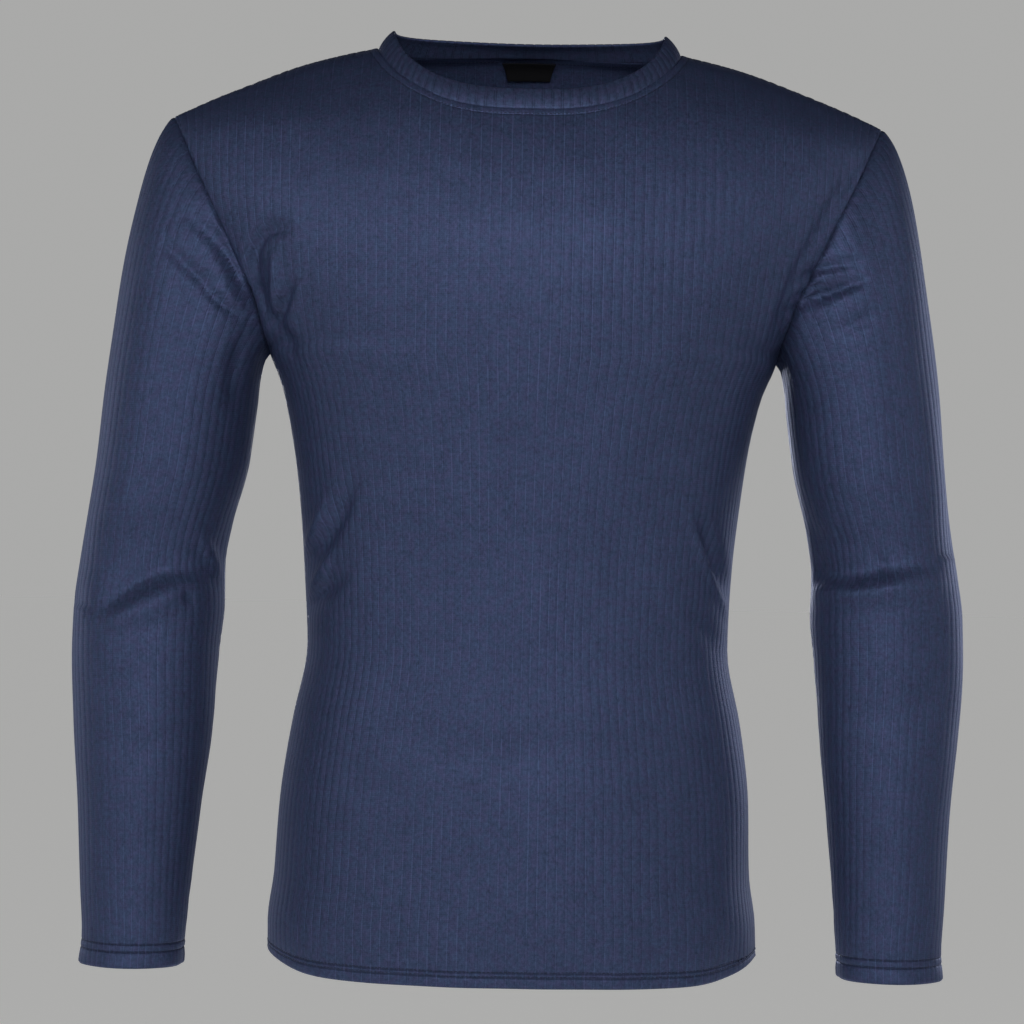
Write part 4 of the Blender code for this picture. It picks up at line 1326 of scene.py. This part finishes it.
def build_label(material):
    seam, lower = label_runs()
    half = LABEL_WIDTH / 2 / CHEST_PITCH
    taper = (LABEL_WIDTH - LABEL_LOWER_WIDTH) / 2 / CHEST_PITCH / (seam - lower)

    def edges(base, rib, run, limit, highest):
        side = (limit - np.abs(rib)) * CHEST_PITCH
        return {"neck": far(rib), "sewn": side, "along": run, "hem": run - lower, "row": far(rib)}

    def relief(base, rib, run, edges):
        """The tape's face is its inner one, which looks into the neck."""
        buckle = 0.25 * np.sin(rib * 1.1 + 0.4) * ease(seam - run, 2.0, 14.0)
        edge = 0.25 * bell(np.minimum(edges["sewn"], np.minimum(edges["hem"], seam - run)), 0.5)
        return buckle - edge, buckle + edge

    piece = Piece(
        "label_tape",
        panel_point("back"),
        lambda run: half - taper * (seam - run),
        lambda rib: np.full(len(rib), seam),
        bottom=lower,
        face_out=-1,
        wall=LABEL_WALL,
        lift=-(WALL + LABEL_CLEARANCE),
        edges=edges,
        relief=relief,
        folds=False,
    )
    runs = seam - (seam - lower) * np.array((1.0, 0.985, 0.95, 0.85, 0.7, 0.5, 0.3, 0.15, 0.05, 0.015, 0.0))
    made = cloth_wall(piece, np.linspace(-half, half, 41), runs, material)
    return finish_piece(made, "label")


# ---------------------------------------------------------------- sewing


def stitches(name, path, cloths, material):
    """A row of short stitches of thread along a line of points, laid on the cloth that is nearest."""
    trees = [
        BVHTree.FromPolygons(
            [v.co / MM for v in cloth.data.vertices], [p.vertices for p in cloth.data.polygons]
        )
        for cloth in cloths
    ]
    stations, radii, heights = np.array(STITCH_STATIONS).T
    covered = covered_along(path)
    count = int(covered[-1] / STITCH_PITCH)
    starts = np.arange(count) * covered[-1] / count
    points, faces = [], []
    for start in starts:
        ends = along_line(path, (start + STITCH_LENGTH * stations) / covered[-1])
        laid = []
        for end in ends:
            found = min((tree.find_nearest(Vector(end)) for tree in trees), key=lambda hit: hit[3])
            laid.append((np.array(found[0]), np.array(found[1])))
        way = unit(laid[-1][0] - laid[0][0])
        first = len(points)
        for (place, normal), thick, up in zip(laid, radii, heights):
            across = unit(np.cross(way, normal))
            centre = place + normal * (THREAD * up - THREAD_SINK)
            for k in range(THREAD_SIDES):
                angle = 2 * math.pi * k / THREAD_SIDES
                ring = across * math.cos(angle) + normal * math.sin(angle)
                points.append(centre + ring * THREAD * thick)
        sides = np.arange(THREAD_SIDES)
        for ring in range(first, len(points) - THREAD_SIDES, THREAD_SIDES):
            here, beside = ring + sides, ring + (sides + 1) % THREAD_SIDES
            faces.extend(zip(here, beside, beside + THREAD_SIDES, here + THREAD_SIDES))
        faces.append(tuple(first + sides[::-1]))
        faces.append(tuple(len(points) - THREAD_SIDES + sides))
    data = bpy.data.meshes.new(name)
    data.from_pydata(np.array(points) * MM, [], faces)
    data.materials.append(material)
    data.shade_smooth()
    made = add_object(name, data)
    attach(made, BODY)
    return made


def hem_path(height):
    """The line round the body at a height above the hem, over the front and back."""
    ribs = np.linspace(-PANEL_HALF_RIBS, PANEL_HALF_RIBS, 400)
    run = np.full(len(ribs), height)
    front = panel_point("front")(ribs, run)
    back = panel_point("back")(ribs[::-1], run)
    return np.concatenate((front, back))


def cuff_path(side, height):
    run = np.full(200, SLEEVE_BOTTOM + height)
    half = sleeve_half_ribs(run)[0]
    return sleeve_point(side)(np.linspace(-half, half, 200), run)


def neck_path(distance):
    """The line at a distance outside the neck seam, along the cloth."""
    ring = along_line(NECK_RING, np.linspace(0, 1, 400))
    tangent = unit(np.roll(ring, -2, axis=0) - np.roll(ring, 2, axis=0))
    tangent[0] = tangent[-1] = (1.0, 0.0, 0.0)
    outward = unit(np.stack((ring[:, 0], ring[:, 1], np.full(len(ring), -60.0)), axis=-1))
    outward = unit(outward - tangent * (outward * tangent).sum(axis=1)[:, None])
    return ring + outward * distance


# ---------------------------------------------------------------- studio

FLOOR_Z = -1.45  # where the wearer would stand
CAMERA_DISTANCE = 2.6
PICTURE_WIDTH = 0.7475  # what the picture spans at the garment's middle
SENSOR = 36.0
CAMERA_X = -0.0058
CAMERA_Z = -0.3374
CAMERA_ROLL = math.radians(1.2)


def build_camera():
    data = bpy.data.cameras.new("camera")
    data.sensor_width = SENSOR
    data.lens = SENSOR * CAMERA_DISTANCE / PICTURE_WIDTH
    camera = bpy.data.objects.new("camera", data)
    camera.matrix_world = (
        Matrix.Translation((CAMERA_X, -CAMERA_DISTANCE, CAMERA_Z))
        @ Matrix.Rotation(math.radians(90), 4, "X")
        @ Matrix.Rotation(CAMERA_ROLL, 4, "Z")
    )
    bpy.context.scene.collection.objects.link(camera)
    bpy.context.scene.camera = camera


LIGHT_AIM = Vector((0.0, 0.0, -0.33))
LIGHT_DISTANCE = 2.6
LIGHT_SIZE = 0.9
# Soft square lights round the top: name, degrees from its front towards its left, degrees up, and power.
LIGHTS = (
    ("key", 4, 22, 28.0),
    ("side", -48, 18, 17.0),
    ("rim", 70, 20, 9.0),
    ("fill", 0, -18, 4.0),
    ("back_key", 186, 6, 24.0),
    ("back_side", 134, 3, 8.0),
    ("back_rim", 238, 3, 5.0),
)


def build_lights():
    for name, turn, up, power in LIGHTS:
        data = bpy.data.lights.new(name, "AREA")
        data.shape = "SQUARE"
        data.size = LIGHT_SIZE
        data.energy = power
        turn, up = math.radians(turn), math.radians(up)
        away = Vector((math.sin(turn) * math.cos(up), -math.cos(turn) * math.cos(up), math.sin(up)))
        light = bpy.data.objects.new(name, data)
        light.location = LIGHT_AIM + away * LIGHT_DISTANCE
        light.rotation_euler = (-away).to_track_quat("-Z", "Y").to_euler()
        light.visible_camera = False
        bpy.context.scene.collection.objects.link(light)


def build_world():
    """Pale all round at the height of the top, and dark overhead like a studio's ceiling."""
    world = bpy.data.worlds.new("studio")
    world.use_nodes = True
    n = Nodes(world)
    background = world.node_tree.nodes["Background"]
    background.inputs["Color"].default_value = scaled(PALE, 1 / PALE[0])
    way = n.new("ShaderNodeTexCoord").outputs["Generated"]
    height = n.parts(way)[2]
    light = n.times(n.eased(height, CEILING_HIGH, CEILING_LOW), WORLD_LIGHT)
    n.give(background.inputs["Strength"], light)
    bpy.context.scene.world = world


def build_floor():
    """A pale floor that meets the pale surroundings without a line."""
    material, shader = plain_material("floor_pale", PALE, 0.95)
    shader.inputs["Specular IOR Level"].default_value = 0.0
    shader.inputs["Emission Color"].default_value = scaled(PALE, 1 / PALE[0])
    shader.inputs["Emission Strength"].default_value = WORLD_LIGHT * FLOOR_GLOW
    bpy.ops.mesh.primitive_circle_add(vertices=96, radius=40, fill_type="NGON", location=(0, 0, FLOOR_Z))
    floor = bpy.context.object
    floor.name = "floor"
    floor.data.materials.append(material)
    floor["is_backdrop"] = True


# ---------------------------------------------------------------- making it


def main():
    build_camera()
    cloth = knit_material("navy_rib_knit", NAVY)
    # The neckband's ribs get no painted highlight and a strong painted shade beside their grooves.
    band = knit_material("navy_neck_rib", NECK_NAVY, run_scale=18.0, painted_highlight_strength=0.0, painted_groove_shade_strength=2.4)
    thread = thread_material()
    front = build_panel("front", cloth)
    back = build_panel("back", cloth)
    left = build_sleeve("sleeve_left", 1, cloth)
    right = build_sleeve("sleeve_right", -1, cloth)
    build_neckband(band)
    build_label(label_material())
    for i, height in enumerate(HEM_ROWS):
        stitches(f"hem_stitches_{i + 1}", hem_path(height), (front, back), thread)
    for name, side, cloth_piece in (("left", 1, left), ("right", -1, right)):
        for i, height in enumerate(CUFF_ROWS):
            stitches(f"cuff_{name}_stitches_{i + 1}", cuff_path(side, height), (cloth_piece,), thread)
    stitches("neck_stitches", neck_path(NECK_ROW), (front, back), thread)
    build_lights()
    build_world()
    build_floor()
    bpy.context.scene.view_settings.view_transform = "Standard"
    boxes = {"cad": cad_box, "visual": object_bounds()}
    {name: [list(corner) for corner in box] for name, box in boxes.items()}


main()
